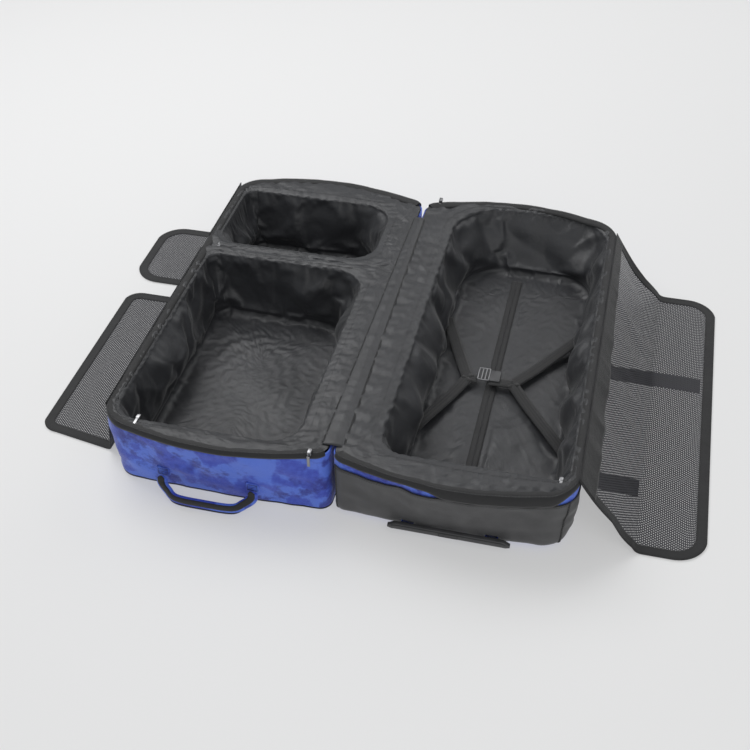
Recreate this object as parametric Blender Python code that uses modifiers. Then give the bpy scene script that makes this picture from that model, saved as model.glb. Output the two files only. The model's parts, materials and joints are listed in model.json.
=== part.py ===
"""A wheeled split-level travel bag, opened flat on a floor like a book.

Two soft trays share a long hinge seam. The base (+X) holds one deep compartment over a
telescopic trolley, with wheels at its far end. The lid (-X) holds a long and a short
compartment. Each compartment has a mesh flap that is unzipped and thrown over the outer wall.

Metres. X runs across the bag, Y along the hinge seam from the trolley grip to the wheels, and
Z up. Shapes are written in the bag's own plan, with the hinge seam at x = 0 and the near wall
at y = 0. The bag_origin empty then moves that plan so that the footprint is centred on 0, 0.
"""

import math

import bmesh
import bpy
from mathutils import Matrix

# Overall sizes
LENGTH = 0.762  # near wall to far wall, beside the hinge seam
HALF_WIDTH = 0.400  # hinge line to the outer wall, at the rim
RIM = 0.1345  # top edge of the shell walls
COLLAR = 0.004  # upright band of a wall's cloth under the rim
GAP = 0.0003  # between pieces that touch on the real bag
THROUGH = 0.060  # how far a cutter runs past the wall it opens
SMALLEST_RADIUS = 0.002
EDGE = 0.001  # softened edge of a moulded piece

# How finely outlines are drawn: steps in a corner, along a bowed edge, and up a wall
ARC_STEPS = 4
RUN_STEPS = 8
WALL_STEPS = 3

# Shells
SEAM_X = 0.003  # hinge line to each shell's inner wall
SHELL_WALL = 0.0025
OUTER_RADIUS = 0.045
HINGE_RADIUS = 0.020
FOOT_RADIUS = 0.012
WALL_LEAN = 0.008  # how far the outer wall leans in at the foot
BOW_NEAR_RIM = 0.034  # how far the end walls bow out, at the rim and at the foot
BOW_NEAR_FOOT = 0.004
BOW_FAR_RIM = 0.040
BOW_FAR_FOOT = 0.006
RAIL_HEIGHT = 0.0097
RAIL_WIDTH = 0.012
RAIL_SPREAD = 0.085
RAIL_NEAR = 0.050
RAIL_FAR_MARGIN = 0.140
BOARD = 0.002
BOARD_MARGIN = 0.003
PANEL_WALL = 0.0015
PANEL_GAP = 0.0008
PANEL_TOP_MARGIN = 0.017
PANEL_FOOT = 0.012

# Rim, from the shell's top edge up
FLANGE = 0.002
TAPE_HEIGHT = 0.0054
TAPE_INSET = 0.0012
TAPE_WIDTH = 0.006
CLOSED_FLAP_LIFT = 0.001
LID_AXIS_LIFT = 0.0025
GUSSET = 0.0012
GUSSET_OVERHANG = 0.0022  # how far the hinge gusset reaches past the hinge line, short of the lid
GUSSET_WIDTH = 0.0202
GUSSET_NEAR_MARGIN = 0.026
GUSSET_FAR_MARGIN = 0.060

# Linings
LINING = 0.0012
LINING_FOOT_RADIUS = 0.018
LEDGE_CLEARANCE = 0.005  # over the wheel housings
LEDGE_SETBACK = 0.008  # in front of the wheel housings
FLOOR_SETBACK = 0.014
BASE_BORDER_HINGE = 0.068
BASE_BORDER_OUTER = 0.014
BASE_BORDER_NEAR = 0.028
BASE_FAR_MARGIN = 0.003
LID_BORDER_HINGE = 0.058
LID_BORDER_NEAR = 0.008
LID_FAR_MARGIN = 0.025
LID_PAD = 0.010
LEAN_HINGE = 0.034  # how far each lining wall leans in at its floor
LEAN_OUTER = 0.022
LEAN_NEAR = 0.014
LEAN_FAR = 0.030
BASE_LINING_RADII = (0.045, 0.030, 0.060, 0.085)
LID_LINING_RADII = (0.060, 0.045, 0.030, 0.060)
BASE_LINING_BOW = 0.020  # the far edge's bow at the rim, and at the floor
BASE_FLOOR_BOW = 0.003
DIVIDER_Y = 0.5175
DIVIDER_WALL = 0.012
DIVIDER_BORDER = 0.0175
DIVIDER_OUTER = 0.028  # the divider's ends, from the outer wall and from the hinge line
DIVIDER_HINGE = 0.062

# Trolley
TROLLEY_X = 0.203
TUBE_SPREAD = 0.070
TUBE_WIDTH = 0.022
TUBE_HEIGHT = 0.014
TUBE_WALL = 0.0010
TUBE_CORNER = 0.003
STAGE_PLAY = 0.0004
SLOT_PLAY = 0.0005
TUBE_FAR_MARGIN = 0.100
STAGE_SETBACK = 0.030
MID_PROUD = 0.003
GRIP_LENGTH = 0.206
GRIP_GAP = 0.0008
GRIP_EDGE = 0.0035
GRIP_HEIGHT = 0.013
GRIP_DEPTH = 0.010
BUTTON_LENGTH = 0.028
BUTTON_HEIGHT = 0.004
BUTTON_DEPTH = 0.0045
BUTTON_RECESS = 0.008
BUTTON_PROUD = 0.0005
BEZEL_NEAR = 0.005
BEZEL_DEPTH = 0.010
BEZEL_MARGIN = 0.004
FOOT_DEPTH = 0.012

# Wheels
WHEEL_RADIUS = 0.035
WHEEL_WIDTH = 0.026
WHEEL_INSET = 0.052
AXLE_RADIUS = 0.003
AXLE_PLAY = 0.0003
AXLE_INSET = 0.0005
CHEEK_GAP = 0.003
CHEEK_WALL = 0.003
HOUSING_CLEARANCE = 0.004
HOUSING_FAR = 0.023
HOUSING_FOOT = 0.012

# Mesh flaps: how far their outer edges reach from the hinge line, and where they run along Y
FLAP_THICKNESS = 0.0012
FLAP_START = 0.0008
FLAP_HEM = 0.020
FLAP_CORNER = 0.055
BASE_FLAP_REACH = 0.620
BASE_FLAP_SLOPE = math.radians(52.8)
BASE_FLAP_NEAR = 0.030
BASE_FLAP_FAR_MARGIN = 0.027
LID_FLAP_REACH = 0.575
SMALL_FLAP_REACH = 0.590
LID_FLAP_SLOPE = math.radians(80.0)
LID_FLAP_NEAR = 0.030
SMALL_FLAP_NEAR_MARGIN = 0.010
SMALL_FLAP_FAR_MARGIN = 0.017

# Straps, buckle, zips and handle
STRAP = 0.0016
CROSS_WIDTH = 0.022
CROSS_ANCHOR_Z = 0.055
CROSS_Y = 0.360
CROSS_FAR = 0.150
CROSS_NEAR = 0.175
CROSS_END = 0.0009  # strap end to lining wall
BUCKLE_X = 0.2075
BUCKLE_LENGTH = 0.020
BUCKLE_WIDTH = 0.032
BUCKLE_HEIGHT = 0.007
BUCKLE_SLOT = 0.0004
PLUG_START = 0.0006
PLUG_WIDTH = 0.030
LEFT_STEM_LENGTH = 0.004
RIGHT_STEM_LENGTH = 0.045
SIDE_STRAP_WIDTH = 0.040
SIDE_STRAP_TOP = 0.060
SIDE_STRAP_BEND = 0.016
SIDE_STRAP_NEAR_Y = 0.175
SIDE_STRAP_FAR_Y = 0.468
SIDE_STRAP_NEAR_REACH = 0.500
SIDE_STRAP_FAR_REACH = 0.595
LINING_ZIP_X = 0.214
LINING_ZIP_WIDTH = 0.008
LINING_ZIP_HEIGHT = 0.0015
LINING_ZIP_NEAR = 0.100
LINING_ZIP_FAR_MARGIN = 0.040
SLIDER_START = 0.020  # the lining zip's slider, from the zip's near end
SLIDER_WIDTH = 0.009
SLIDER_LENGTH = 0.012
SLIDER_HEIGHT = 0.0035
PULL_WIDTH = 0.006
PULL_LENGTH = 0.0245
PULL = 0.001
PULL_AXIS_Y = 0.002  # the pull's axis, from the slider's middle
PULL_END = 0.0005  # how far the pull runs past its own axis
HANDLE_SPAN = 0.159
HANDLE_DROP = 0.050
HANDLE_BAND = 0.018
HANDLE_THICKNESS = 0.004
HANDLE_CORNER = 0.038
HANDLE_X = 0.2105
HANDLE_Z = 0.050
HANDLE_SLOPE = math.radians(56.0)
TAB_WIDTH = 0.022
TAB_HEIGHT = 0.018
TAB_THICKNESS = 0.0018

# Zip sliders: where they rest, and their profiles in Y and Z
FLAP_SLIDER_WIDTH = 0.007
FLAP_SLIDER_OUTER = 0.030
FLAP_SLIDER_NEAR = 0.011
LID_SLIDER_OUTER = 0.065
LID_SLIDER_NEAR = 0.0085
SMALL_SLIDER_NEAR = 0.006
MAIN_SLIDER_INSET = 0.008
FLAP_SLIDER_PROFILE = (
    (-0.004, 0),
    (0.004, 0),
    (0.004, 0.002),
    (0.020, 0.002),
    (0.020, 0.0035),
    (-0.004, 0.0035),
)
MAIN_SLIDER_PROFILE = (  # its pull hangs down over the rim
    (-0.004, 0),
    (0.004, 0),
    (0.004, 0.005),
    (-0.0125, 0.005),
    (-0.0125, -0.022),
    (-0.011, -0.022),
    (-0.011, 0.003),
    (-0.004, 0.003),
)

# Heights that follow from them
BASE_FLOOR = RAIL_HEIGHT + GAP
BOARD_Z = BASE_FLOOR + SHELL_WALL + GAP
TUBE_Z = BOARD_Z + BOARD + GAP
TUBE_AXIS_Z = TUBE_Z + TUBE_HEIGHT / 2
BASE_LINING_Z = TUBE_Z + TUBE_HEIGHT + GAP
LINING_ZIP_TOP = BASE_LINING_Z + LINING + GAP + LINING_ZIP_HEIGHT
PULL_Z = LINING_ZIP_TOP + GAP + SLIDER_HEIGHT + GAP
BUCKLE_Z = PULL_Z + PULL + GAP + BUCKLE_HEIGHT / 2
LID_LINING_Z = SHELL_WALL + GAP + LID_PAD
FLANGE_Z = RIM + GAP
TAPE_Z = FLANGE_Z + FLANGE + GAP
TAPE_TOP = TAPE_Z + TAPE_HEIGHT
FLAP_AXIS_Z = TAPE_TOP + CLOSED_FLAP_LIFT
FLAP_AXIS_X = HALF_WIDTH - 0.0005
LID_AXIS_Z = FLAP_AXIS_Z + LID_AXIS_LIFT
WHEEL_Y = LENGTH
HOUSING_WIDTH = WHEEL_WIDTH + 2 * (CHEEK_GAP + CHEEK_WALL)
HOUSING_NEAR = WHEEL_Y - WHEEL_RADIUS - HOUSING_CLEARANCE - CHEEK_WALL
HOUSING_TOP = 2 * WHEEL_RADIUS + HOUSING_CLEARANCE + CHEEK_WALL
HOUSING_LEDGE_Z = HOUSING_TOP + LEDGE_CLEARANCE
FOOTPRINT_X = (BASE_FLAP_REACH - SMALL_FLAP_REACH) / 2
FOOTPRINT_Y = (LENGTH + BOW_FAR_RIM - HANDLE_DROP) / 2

FINISHES = {  # colour, roughness, metallic
    "shell_cloth": ((0.075, 0.130, 0.600), 0.75, 0.0),
    "coated_panel": ((0.055, 0.055, 0.058), 0.55, 0.0),
    "lining_cloth": ((0.035, 0.037, 0.040), 0.60, 0.0),
    "mesh_cloth": ((0.060, 0.060, 0.066), 0.85, 0.0),
    "binding_tape": ((0.022, 0.022, 0.022), 0.80, 0.0),
    "webbing": ((0.020, 0.020, 0.022), 0.80, 0.0),
    "black_plastic": ((0.025, 0.025, 0.027), 0.45, 0.0),
    "board": ((0.050, 0.045, 0.040), 0.80, 0.0),
    "tyre": ((0.020, 0.020, 0.020), 0.70, 0.0),
    "aluminium": ((0.600, 0.610, 0.620), 0.35, 1.0),
    "steel": ((0.500, 0.500, 0.500), 0.30, 1.0),
}


class Bag:
    """The collections, the empties that the pieces hang on, and the way to add a piece."""

    def __init__(self):
        self.parts = self.collection("split_level_travel_bag")
        self.cutters = self.collection("cutters")
        self.pivots = {}
        self.origin = self.empty("bag_origin", None, (-FOOTPRINT_X, -FOOTPRINT_Y, 0))
        self.pivot("base", (0, 0, 0))

    def collection(self, name):
        made = bpy.data.collections.new(name)
        bpy.context.scene.collection.children.link(made)
        return made

    def empty(self, name, parent, location):
        made = bpy.data.objects.new(name, None)
        made.empty_display_size = 0.03
        made.parent = parent
        made.location = location
        self.parts.objects.link(made)
        return made

    def pivot(self, body, place, parent=None):
        """An empty for a body, at a point of its joint's axis."""
        above, start = self.pivots.get(parent, (self.origin, (0, 0, 0)))
        local = [a - b for a, b in zip(place, start)]
        self.pivots[body] = (self.empty(body + "_pivot", above, local), place)

    def add(self, piece, finish, body="base"):
        """Hangs a piece, placed in the bag's plan, on its body, and paints it."""
        empty, place = self.pivots[body]
        piece.parent = empty
        piece.location = [a - b for a, b in zip(piece.location, place)]
        colour, roughness, metallic = FINISHES[finish]
        paint = bpy.data.materials.new(piece.name + "_paint")
        paint.use_nodes = True
        shader = paint.node_tree.nodes["Principled BSDF"]
        shader.inputs["Base Color"].default_value = (*colour, 1)
        shader.inputs["Roughness"].default_value = roughness
        shader.inputs["Metallic"].default_value = metallic
        piece.data.materials.append(paint)
        self.parts.objects.link(piece)
        return piece

    def cut(self, piece, cutter):
        """Subtracts a cutter, placed in the bag's plan, from a piece."""
        if cutter.name not in self.cutters.objects:
            cutter.parent = self.origin
            cutter.hide_render = True
            cutter.display_type = "WIRE"
            self.cutters.objects.link(cutter)
        taken = piece.modifiers.new("cut", "BOOLEAN")
        taken.operation = "DIFFERENCE"
        taken.object = cutter


# Outlines


def rounded(x0, x1, y0, y1, radii, bow_near=0.0, bow_far=0.0, arc=ARC_STEPS, run=RUN_STEPS):
    """An anticlockwise rounded rectangle whose near and far edges bow outwards.

    radii are those of the corners (x0, y0), (x1, y0), (x1, y1) and (x0, y1).
    """
    points = []
    corners = [(x0, y0, 1, 1), (x1, y0, -1, 1), (x1, y1, -1, -1), (x0, y1, 1, -1)]
    for number, ((x, y, inward_x, inward_y), radius) in enumerate(zip(corners, radii)):
        for step in range(arc + 1):
            angle = math.pi + (number + step / arc) * math.pi / 2
            points.append(
                (
                    x + inward_x * radius + radius * math.cos(angle),
                    y + inward_y * radius + radius * math.sin(angle),
                )
            )
        if number in (0, 2):
            start = points[-1]
            ahead = radii[number + 1]
            end = x1 - ahead if number == 0 else x0 + ahead
            for step in range(1, run):
                points.append((start[0] + (end - start[0]) * step / run, y))
    middle = (y0 + y1) / 2
    bowed = []
    for x, y in points:
        lift = math.sin(math.pi * (x - x0) / (x1 - x0))
        share = abs(y - middle) / (y1 - middle)
        bowed.append((x, y - bow_near * lift * share if y < middle else y + bow_far * lift * share))
    return bowed


def mirrored(outline):
    """The same outline on the lid's side, still anticlockwise."""
    return [(-x, y) for x, y in reversed(outline)]


def on_side(side, outline):
    return outline if side > 0 else mirrored(outline)


def wall_share(z):
    """How much of its lean and bow a wall has at height z: none at the floor, all at the collar."""
    return min(z / (RIM - COLLAR), 1.0)


def wall_outline(z, inset=0.0):
    """A shell's outer face at height z, in the base's plan."""
    share = wall_share(z)
    radii = (HINGE_RADIUS, OUTER_RADIUS, OUTER_RADIUS, HINGE_RADIUS)
    return rounded(
        SEAM_X + inset,
        HALF_WIDTH - WALL_LEAN * (1 - share) - inset,
        inset,
        LENGTH - inset,
        [max(radius - inset, SMALLEST_RADIUS) for radius in radii],
        BOW_NEAR_FOOT + (BOW_NEAR_RIM - BOW_NEAR_FOOT) * share,
        BOW_FAR_FOOT + (BOW_FAR_RIM - BOW_FAR_FOOT) * share,
    )


def wall_heights(floor):
    """The heights of a wall's rows, from the top of its foot to the top of the kick panel."""
    low, high = floor + FOOT_RADIUS, RIM - PANEL_TOP_MARGIN
    return [low + (high - low) * step / WALL_STEPS for step in range(WALL_STEPS + 1)]


def near_wall_y(x, z):
    """The near wall's outer face, at a distance x from the hinge line and a height z."""
    share = wall_share(z)
    span = HALF_WIDTH - WALL_LEAN * (1 - share) - SEAM_X
    bow = BOW_NEAR_FOOT + (BOW_NEAR_RIM - BOW_NEAR_FOOT) * share
    return -bow * math.sin(math.pi * (x - SEAM_X) / span)


def u_shape(x0, x1, y0, y1, radius, band, arc=5):
    """A U that is open towards +x, with two rounded corners at x0."""
    outline = []
    for inset, order in ((0.0, 1), (band, -1)):
        bend = max(radius - inset, 0.0001)
        side = []
        for y, turn in ((y0 + inset, 1), (y1 - inset, -1)):
            corner = []
            for step in range(arc + 1):
                angle = math.pi / 2 * step / arc
                corner.append(
                    (
                        x0 + inset + bend * (1 - math.sin(angle)),
                        y + turn * bend * (1 - math.cos(angle)),
                    )
                )
            side += [(x1, y)] + corner if turn > 0 else corner[::-1] + [(x1, y)]
        outline += side[::order]
    return outline


def block(x0, x1, y0, y1):
    return [(x0, y0), (x1, y0), (x1, y1), (x0, y1)]


# Solids


def box(name, low, high, bevel=0.0):
    """A box between two corners, with softened edges."""
    size = [b - a for a, b in zip(low, high)]
    mesh = bpy.data.meshes.new(name)
    shape = bmesh.new()
    bmesh.ops.create_cube(shape, size=1.0, matrix=Matrix.Diagonal((*size, 1)))
    shape.to_mesh(mesh)
    shape.free()
    piece = bpy.data.objects.new(name, mesh)
    piece.location = [(a + b) / 2 for a, b in zip(low, high)]
    if bevel:
        soften(piece, bevel)
    return piece


def boxes(name, corners):
    """One cutter made of several boxes, each between two corners in the bag's plan."""
    mesh = bpy.data.meshes.new(name)
    shape = bmesh.new()
    for low, high in corners:
        size = [b - a for a, b in zip(low, high)]
        middle = [(a + b) / 2 for a, b in zip(low, high)]
        place = Matrix.Translation(middle) @ Matrix.Diagonal((*size, 1))
        bmesh.ops.create_cube(shape, size=1.0, matrix=place)
    shape.to_mesh(mesh)
    shape.free()
    return bpy.data.objects.new(name, mesh)


def soften(piece, width, segments=2):
    edge = piece.modifiers.new("soften", "BEVEL")
    edge.width = width
    edge.segments = segments
    edge.limit_method = "ANGLE"
    edge.angle_limit = math.radians(40)


def flat(name, outlines, low, high):
    """A flat shape with holes, between two heights."""
    curve = bpy.data.curves.new(name, "CURVE")
    curve.dimensions = "2D"
    curve.fill_mode = "BOTH"
    curve.extrude = (high - low) / 2
    for outline in outlines:
        spline = curve.splines.new("POLY")
        spline.points.add(len(outline) - 1)
        for point, (x, y) in zip(spline.points, outline):
            point.co = (x, y, 0, 1)
        spline.use_cyclic_u = True
    piece = bpy.data.objects.new(name, curve)
    piece.location = (0, 0, (low + high) / 2)
    return piece


def skin(name, rows, wall, closed, floor, outward):
    """A surface through rows of points, thickened on one side."""
    mesh = bpy.data.meshes.new(name)
    shape = bmesh.new()
    grid = [[shape.verts.new(point) for point in row] for row in rows]
    columns = len(rows[0])
    for lower, upper in zip(grid, grid[1:]):
        for i in range(columns if closed else columns - 1):
            j = (i + 1) % columns
            shape.faces.new((lower[i], lower[j], upper[j], upper[i]))
    if floor:
        shape.faces.new(grid[0][::-1])
    shape.to_mesh(mesh)
    shape.free()
    piece = bpy.data.objects.new(name, mesh)
    thick = piece.modifiers.new("thickness", "SOLIDIFY")
    thick.thickness = wall
    thick.offset = 1.0 if outward else -1.0
    thick.use_even_offset = True
    return piece


def foot_steps(radius, steps=4):
    """Inset and rise of a rounded foot, from the floor to the wall."""
    for step in range(steps + 1):
        angle = math.pi / 2 * step / steps
        yield radius * (1 - math.sin(angle)), radius * (1 - math.cos(angle))


def tube(name, x, width, height, near, far):
    """A straight hollow tube along Y."""
    outlines = []
    for inset in (0.0, TUBE_WALL):
        half_w, half_h = width / 2 - inset, height / 2 - inset
        corners = [TUBE_CORNER - inset] * 4
        outlines.append(rounded(-half_w, half_w, -half_h, half_h, corners, arc=2, run=1))
    piece = flat(name, outlines, 0, far - near)
    piece.rotation_euler = (-math.pi / 2, 0, 0)
    piece.location = (x, (near + far) / 2, TUBE_AXIS_Z)
    return piece


# Base


def shell(name, side, floor):
    """One half's outer tray: a rounded foot, then ruled walls up to the rim."""
    rows = []
    for inset, rise in foot_steps(FOOT_RADIUS):
        rows.append([(x, y, floor + rise) for x, y in on_side(side, wall_outline(floor + rise, inset))])
    for z in (*wall_heights(floor)[1:], RIM - COLLAR, RIM):
        rows.append([(x, y, z) for x, y in on_side(side, wall_outline(z))])
    return skin(name, rows, SHELL_WALL, closed=True, floor=True, outward=False)


def tub(name, side, floor, levels):
    """A lining that narrows downwards: levels give a height and an outline, floor first.

    The last level starts an upright collar that ends at the rim.
    """
    low, outline = levels[0]
    x0, x1, y0, y1, radii, near, far = outline
    rows = []
    for inset, rise in foot_steps(LINING_FOOT_RADIUS):
        softened = [max(radius - inset, 2 * SMALLEST_RADIUS) for radius in radii]
        ring = rounded(x0 + inset, x1 - inset, y0 + inset, y1 - inset, softened, near, far)
        rows.append([(x, y, floor + rise) for x, y in on_side(side, ring)])
    levels = levels[1:] + [(RIM, levels[-1][1])]
    for z, (x0, x1, y0, y1, radii, near, far) in levels:
        rows.append([(x, y, z) for x, y in on_side(side, rounded(x0, x1, y0, y1, radii, near, far))])
    return skin(name, rows, LINING, closed=True, floor=True, outward=False)


def rim_opening(outline, inset=LINING):
    """The hole in a rim flange that is flush with a lining's inner face."""
    x0, x1, y0, y1, radii, near, far = outline
    smaller = [radius - inset for radius in radii]
    return rounded(x0 + inset, x1 - inset, y0 + inset, y1 - inset, smaller, near, far)


# An outline is x0, x1, y0, y1, the four corners' radii, and the near and far edges' bows
BASE_RIM_OUTLINE = (
    BASE_BORDER_HINGE,
    HALF_WIDTH - BASE_BORDER_OUTER,
    BASE_BORDER_NEAR,
    LENGTH + BASE_FAR_MARGIN,
    BASE_LINING_RADII,
    0.0,
    BASE_LINING_BOW,
)
BASE_LEDGE_OUTLINE = (
    BASE_BORDER_HINGE + LEAN_HINGE * 0.5,
    HALF_WIDTH - BASE_BORDER_OUTER - LEAN_OUTER * 0.5,
    BASE_BORDER_NEAR + LEAN_NEAR * 0.5,
    HOUSING_NEAR - LEDGE_SETBACK,
    BASE_LINING_RADII,
    0.0,
    BASE_FLOOR_BOW,
)
BASE_FLOOR_OUTLINE = (
    BASE_BORDER_HINGE + LEAN_HINGE,
    HALF_WIDTH - BASE_BORDER_OUTER - LEAN_OUTER,
    BASE_BORDER_NEAR + LEAN_NEAR,
    HOUSING_NEAR - FLOOR_SETBACK,
    BASE_LINING_RADII,
    0.0,
    BASE_FLOOR_BOW,
)


def lid_outline(near, far, lean):
    """A lid compartment's outline between two Y values, drawn in by its lean."""
    return (
        LID_BORDER_HINGE + LEAN_HINGE * lean,
        HALF_WIDTH - BASE_BORDER_OUTER - LEAN_OUTER * lean,
        near + LEAN_NEAR * lean,
        far - LEAN_FAR * lean,
        LID_LINING_RADII,
        0.0,
        0.0,
    )


def make_base_shells(bag):
    base = bag.add(shell("base_shell", 1, BASE_FLOOR), "shell_cloth")
    rows = []
    first = ARC_STEPS // 2
    last = first + ARC_STEPS + RUN_STEPS  # mid-corner to mid-corner along the near edge
    for z in (PANEL_FOOT, *wall_heights(BASE_FLOOR)):
        rows.append([(x, y, z) for x, y in wall_outline(z, -PANEL_GAP)[first : last + 1]])
    panel = bag.add(skin("kick_panel", rows, PANEL_WALL, False, False, True), "coated_panel")
    slots = boxes("tube_slots", tube_passages(-THROUGH, BEZEL_NEAR - GAP, SLOT_PLAY))
    bag.cut(base, slots)
    bag.cut(panel, slots)
    wells = []
    for _, x in wheel_places():
        low = (x - HOUSING_WIDTH / 2 - GAP, HOUSING_NEAR - GAP, -THROUGH)
        high = (x + HOUSING_WIDTH / 2 + GAP, LENGTH + THROUGH, HOUSING_TOP + GAP)
        wells.append((low, high))
    bag.cut(base, boxes("wheel_wells", wells))
    edge = FOOT_RADIUS + BOARD_MARGIN
    board = rounded(
        SEAM_X + edge,
        HALF_WIDTH - WALL_LEAN - edge,
        edge,
        HOUSING_NEAR - HOUSING_CLEARANCE - edge,
        [OUTER_RADIUS - edge] * 4,
        run=1,
    )
    bag.add(flat("base_board", [board], BOARD_Z, BOARD_Z + BOARD), "board")
    for hand, x in (("left", TROLLEY_X - RAIL_SPREAD), ("right", TROLLEY_X + RAIL_SPREAD)):
        low = (x - RAIL_WIDTH / 2, RAIL_NEAR, 0)
        high = (x + RAIL_WIDTH / 2, LENGTH - RAIL_FAR_MARGIN, RAIL_HEIGHT)
        bag.add(box(f"skid_rail_{hand}", low, high, RAIL_WIDTH / 4), "black_plastic")


def make_base_lining(bag):
    levels = [
        (BASE_LINING_Z, BASE_FLOOR_OUTLINE),
        (HOUSING_LEDGE_Z, BASE_LEDGE_OUTLINE),
        (RIM - COLLAR, BASE_RIM_OUTLINE),
    ]
    bag.add(tub("base_lining", 1, BASE_LINING_Z, levels), "lining_cloth")
    outlines = [wall_outline(RIM), rim_opening(BASE_RIM_OUTLINE)]
    bag.add(flat("base_rim_flange", outlines, FLANGE_Z, FLANGE_Z + FLANGE), "lining_cloth")
    bag.add(zipper_tape("base_zipper_tape", 1), "binding_tape")
    low = (-GUSSET_OVERHANG, GUSSET_NEAR_MARGIN, TAPE_Z)
    high = (GUSSET_WIDTH - GUSSET_OVERHANG, LENGTH - GUSSET_FAR_MARGIN, TAPE_Z + GUSSET)
    bag.add(box("hinge_gusset", low, high), "lining_cloth")


def zipper_tape(name, side):
    """The main zip's tape on three sides of a rim, from hinge corner to hinge corner."""
    paths = []
    for inset in (TAPE_INSET, TAPE_INSET + TAPE_WIDTH):
        outline = wall_outline(RIM, inset)
        paths.append(outline[ARC_STEPS:-ARC_STEPS])
    outline = paths[0] + paths[1][::-1]
    return flat(name, [on_side(side, outline)], TAPE_Z, TAPE_TOP)


# Trolley and wheels


def stage_size(stage):
    """Outer width and height of a tube: 0 is the fixed outer tube, 2 the innermost."""
    step = 2 * (TUBE_WALL + STAGE_PLAY)
    return TUBE_WIDTH - stage * step, TUBE_HEIGHT - stage * step


def tube_passages(near, far, play):
    """The boxes that the middle tubes slide through, between two Y values."""
    width, height = stage_size(1)
    passages = []
    for sign in (-1, 1):
        x = TROLLEY_X + sign * TUBE_SPREAD
        low = (x - width / 2 - play, near, TUBE_AXIS_Z - height / 2 - play)
        high = (x + width / 2 + play, far, TUBE_AXIS_Z + height / 2 + play)
        passages.append((low, high))
    return passages


def make_trolley(bag):
    far = LENGTH - TUBE_FAR_MARGIN
    outer_near = BEZEL_NEAR + BEZEL_DEPTH + GAP
    wall_y = near_wall_y(TROLLEY_X, TUBE_AXIS_Z + GRIP_HEIGHT / 2)
    grip_back = wall_y - PANEL_GAP - PANEL_WALL - GRIP_GAP
    bag.pivot("trolley_mid", (TROLLEY_X, 0, TUBE_AXIS_Z), "base")
    bag.pivot("trolley_inner", (TROLLEY_X, 0, TUBE_AXIS_Z), "trolley_mid")
    bag.pivot("trolley_button", (TROLLEY_X, grip_back - GRIP_DEPTH, TUBE_AXIS_Z), "trolley_inner")
    runs = (
        ("outer_tube", "base", outer_near, far),
        ("mid_tube", "trolley_mid", BEZEL_NEAR - MID_PROUD, far - STAGE_SETBACK),
        ("inner_tube", "trolley_inner", grip_back + GAP, far - 2 * STAGE_SETBACK),
    )
    for stage, (name, body, near, end) in enumerate(runs):
        for hand, sign in (("left", -1), ("right", 1)):
            x = TROLLEY_X + sign * TUBE_SPREAD
            bag.add(tube(f"{name}_{hand}", x, *stage_size(stage), near, end), "aluminium", body)

    half = TUBE_SPREAD + TUBE_WIDTH / 2 + BEZEL_MARGIN
    low = (TROLLEY_X - half, BEZEL_NEAR, TUBE_Z)
    high = (TROLLEY_X + half, BEZEL_NEAR + BEZEL_DEPTH, TUBE_Z + TUBE_HEIGHT)
    bezel = bag.add(box("trolley_bezel", low, high), "black_plastic")
    bag.cut(bezel, boxes("bezel_holes", tube_passages(0, THROUGH, STAGE_PLAY)))
    low = (TROLLEY_X - half, far + GAP, TUBE_Z)
    high = (TROLLEY_X + half, far + GAP + FOOT_DEPTH, TUBE_Z + TUBE_HEIGHT)
    bag.add(box("tube_foot", low, high, EDGE), "black_plastic")

    low = (TROLLEY_X - GRIP_LENGTH / 2, grip_back - GRIP_DEPTH, TUBE_AXIS_Z - GRIP_HEIGHT / 2)
    high = (TROLLEY_X + GRIP_LENGTH / 2, grip_back, TUBE_AXIS_Z + GRIP_HEIGHT / 2)
    grip = bag.add(box("trolley_grip", low, high, GRIP_EDGE), "black_plastic", "trolley_inner")
    front = grip_back - GRIP_DEPTH
    half_l, half_h = BUTTON_LENGTH / 2, BUTTON_HEIGHT / 2
    recess = box(
        "button_recess",
        (TROLLEY_X - half_l - GAP, front - BUTTON_RECESS, TUBE_AXIS_Z - half_h - GAP),
        (TROLLEY_X + half_l + GAP, front + BUTTON_RECESS, TUBE_AXIS_Z + half_h + GAP),
    )
    bag.cut(grip, recess)
    low = (TROLLEY_X - half_l, front - BUTTON_PROUD, TUBE_AXIS_Z - half_h)
    high = (TROLLEY_X + half_l, front - BUTTON_PROUD + BUTTON_DEPTH, TUBE_AXIS_Z + half_h)
    bag.add(box("trolley_button", low, high, EDGE / 2), "black_plastic", "trolley_button")


def wheel_places():
    return (("left", WHEEL_INSET), ("right", HALF_WIDTH - WHEEL_INSET))


def make_wheels(bag):
    for hand, x in wheel_places():
        half = HOUSING_WIDTH / 2
        low = (x - half, HOUSING_NEAR, HOUSING_FOOT)
        high = (x + half, WHEEL_Y + HOUSING_FAR, HOUSING_TOP)
        housing = bag.add(box(f"wheel_housing_{hand}", low, high, CHEEK_WALL), "black_plastic")
        inner = half - CHEEK_WALL
        hollow = box(
            f"housing_hollow_{hand}",
            (x - inner, HOUSING_NEAR + CHEEK_WALL, -THROUGH),
            (x + inner, WHEEL_Y + THROUGH, HOUSING_TOP - CHEEK_WALL),
        )
        bag.cut(housing, hollow)
        bore = rod(f"housing_bore_{hand}", x, AXLE_RADIUS + AXLE_PLAY, HOUSING_WIDTH + THROUGH)
        bag.cut(housing, bore)
        bag.add(rod(f"axle_{hand}", x, AXLE_RADIUS, HOUSING_WIDTH - 2 * AXLE_INSET), "steel")
        body = f"wheel_{hand}"
        bag.pivot(body, (x, WHEEL_Y, WHEEL_RADIUS), "base")
        bag.add(wheel(body, x), "tyre", body)


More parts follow.
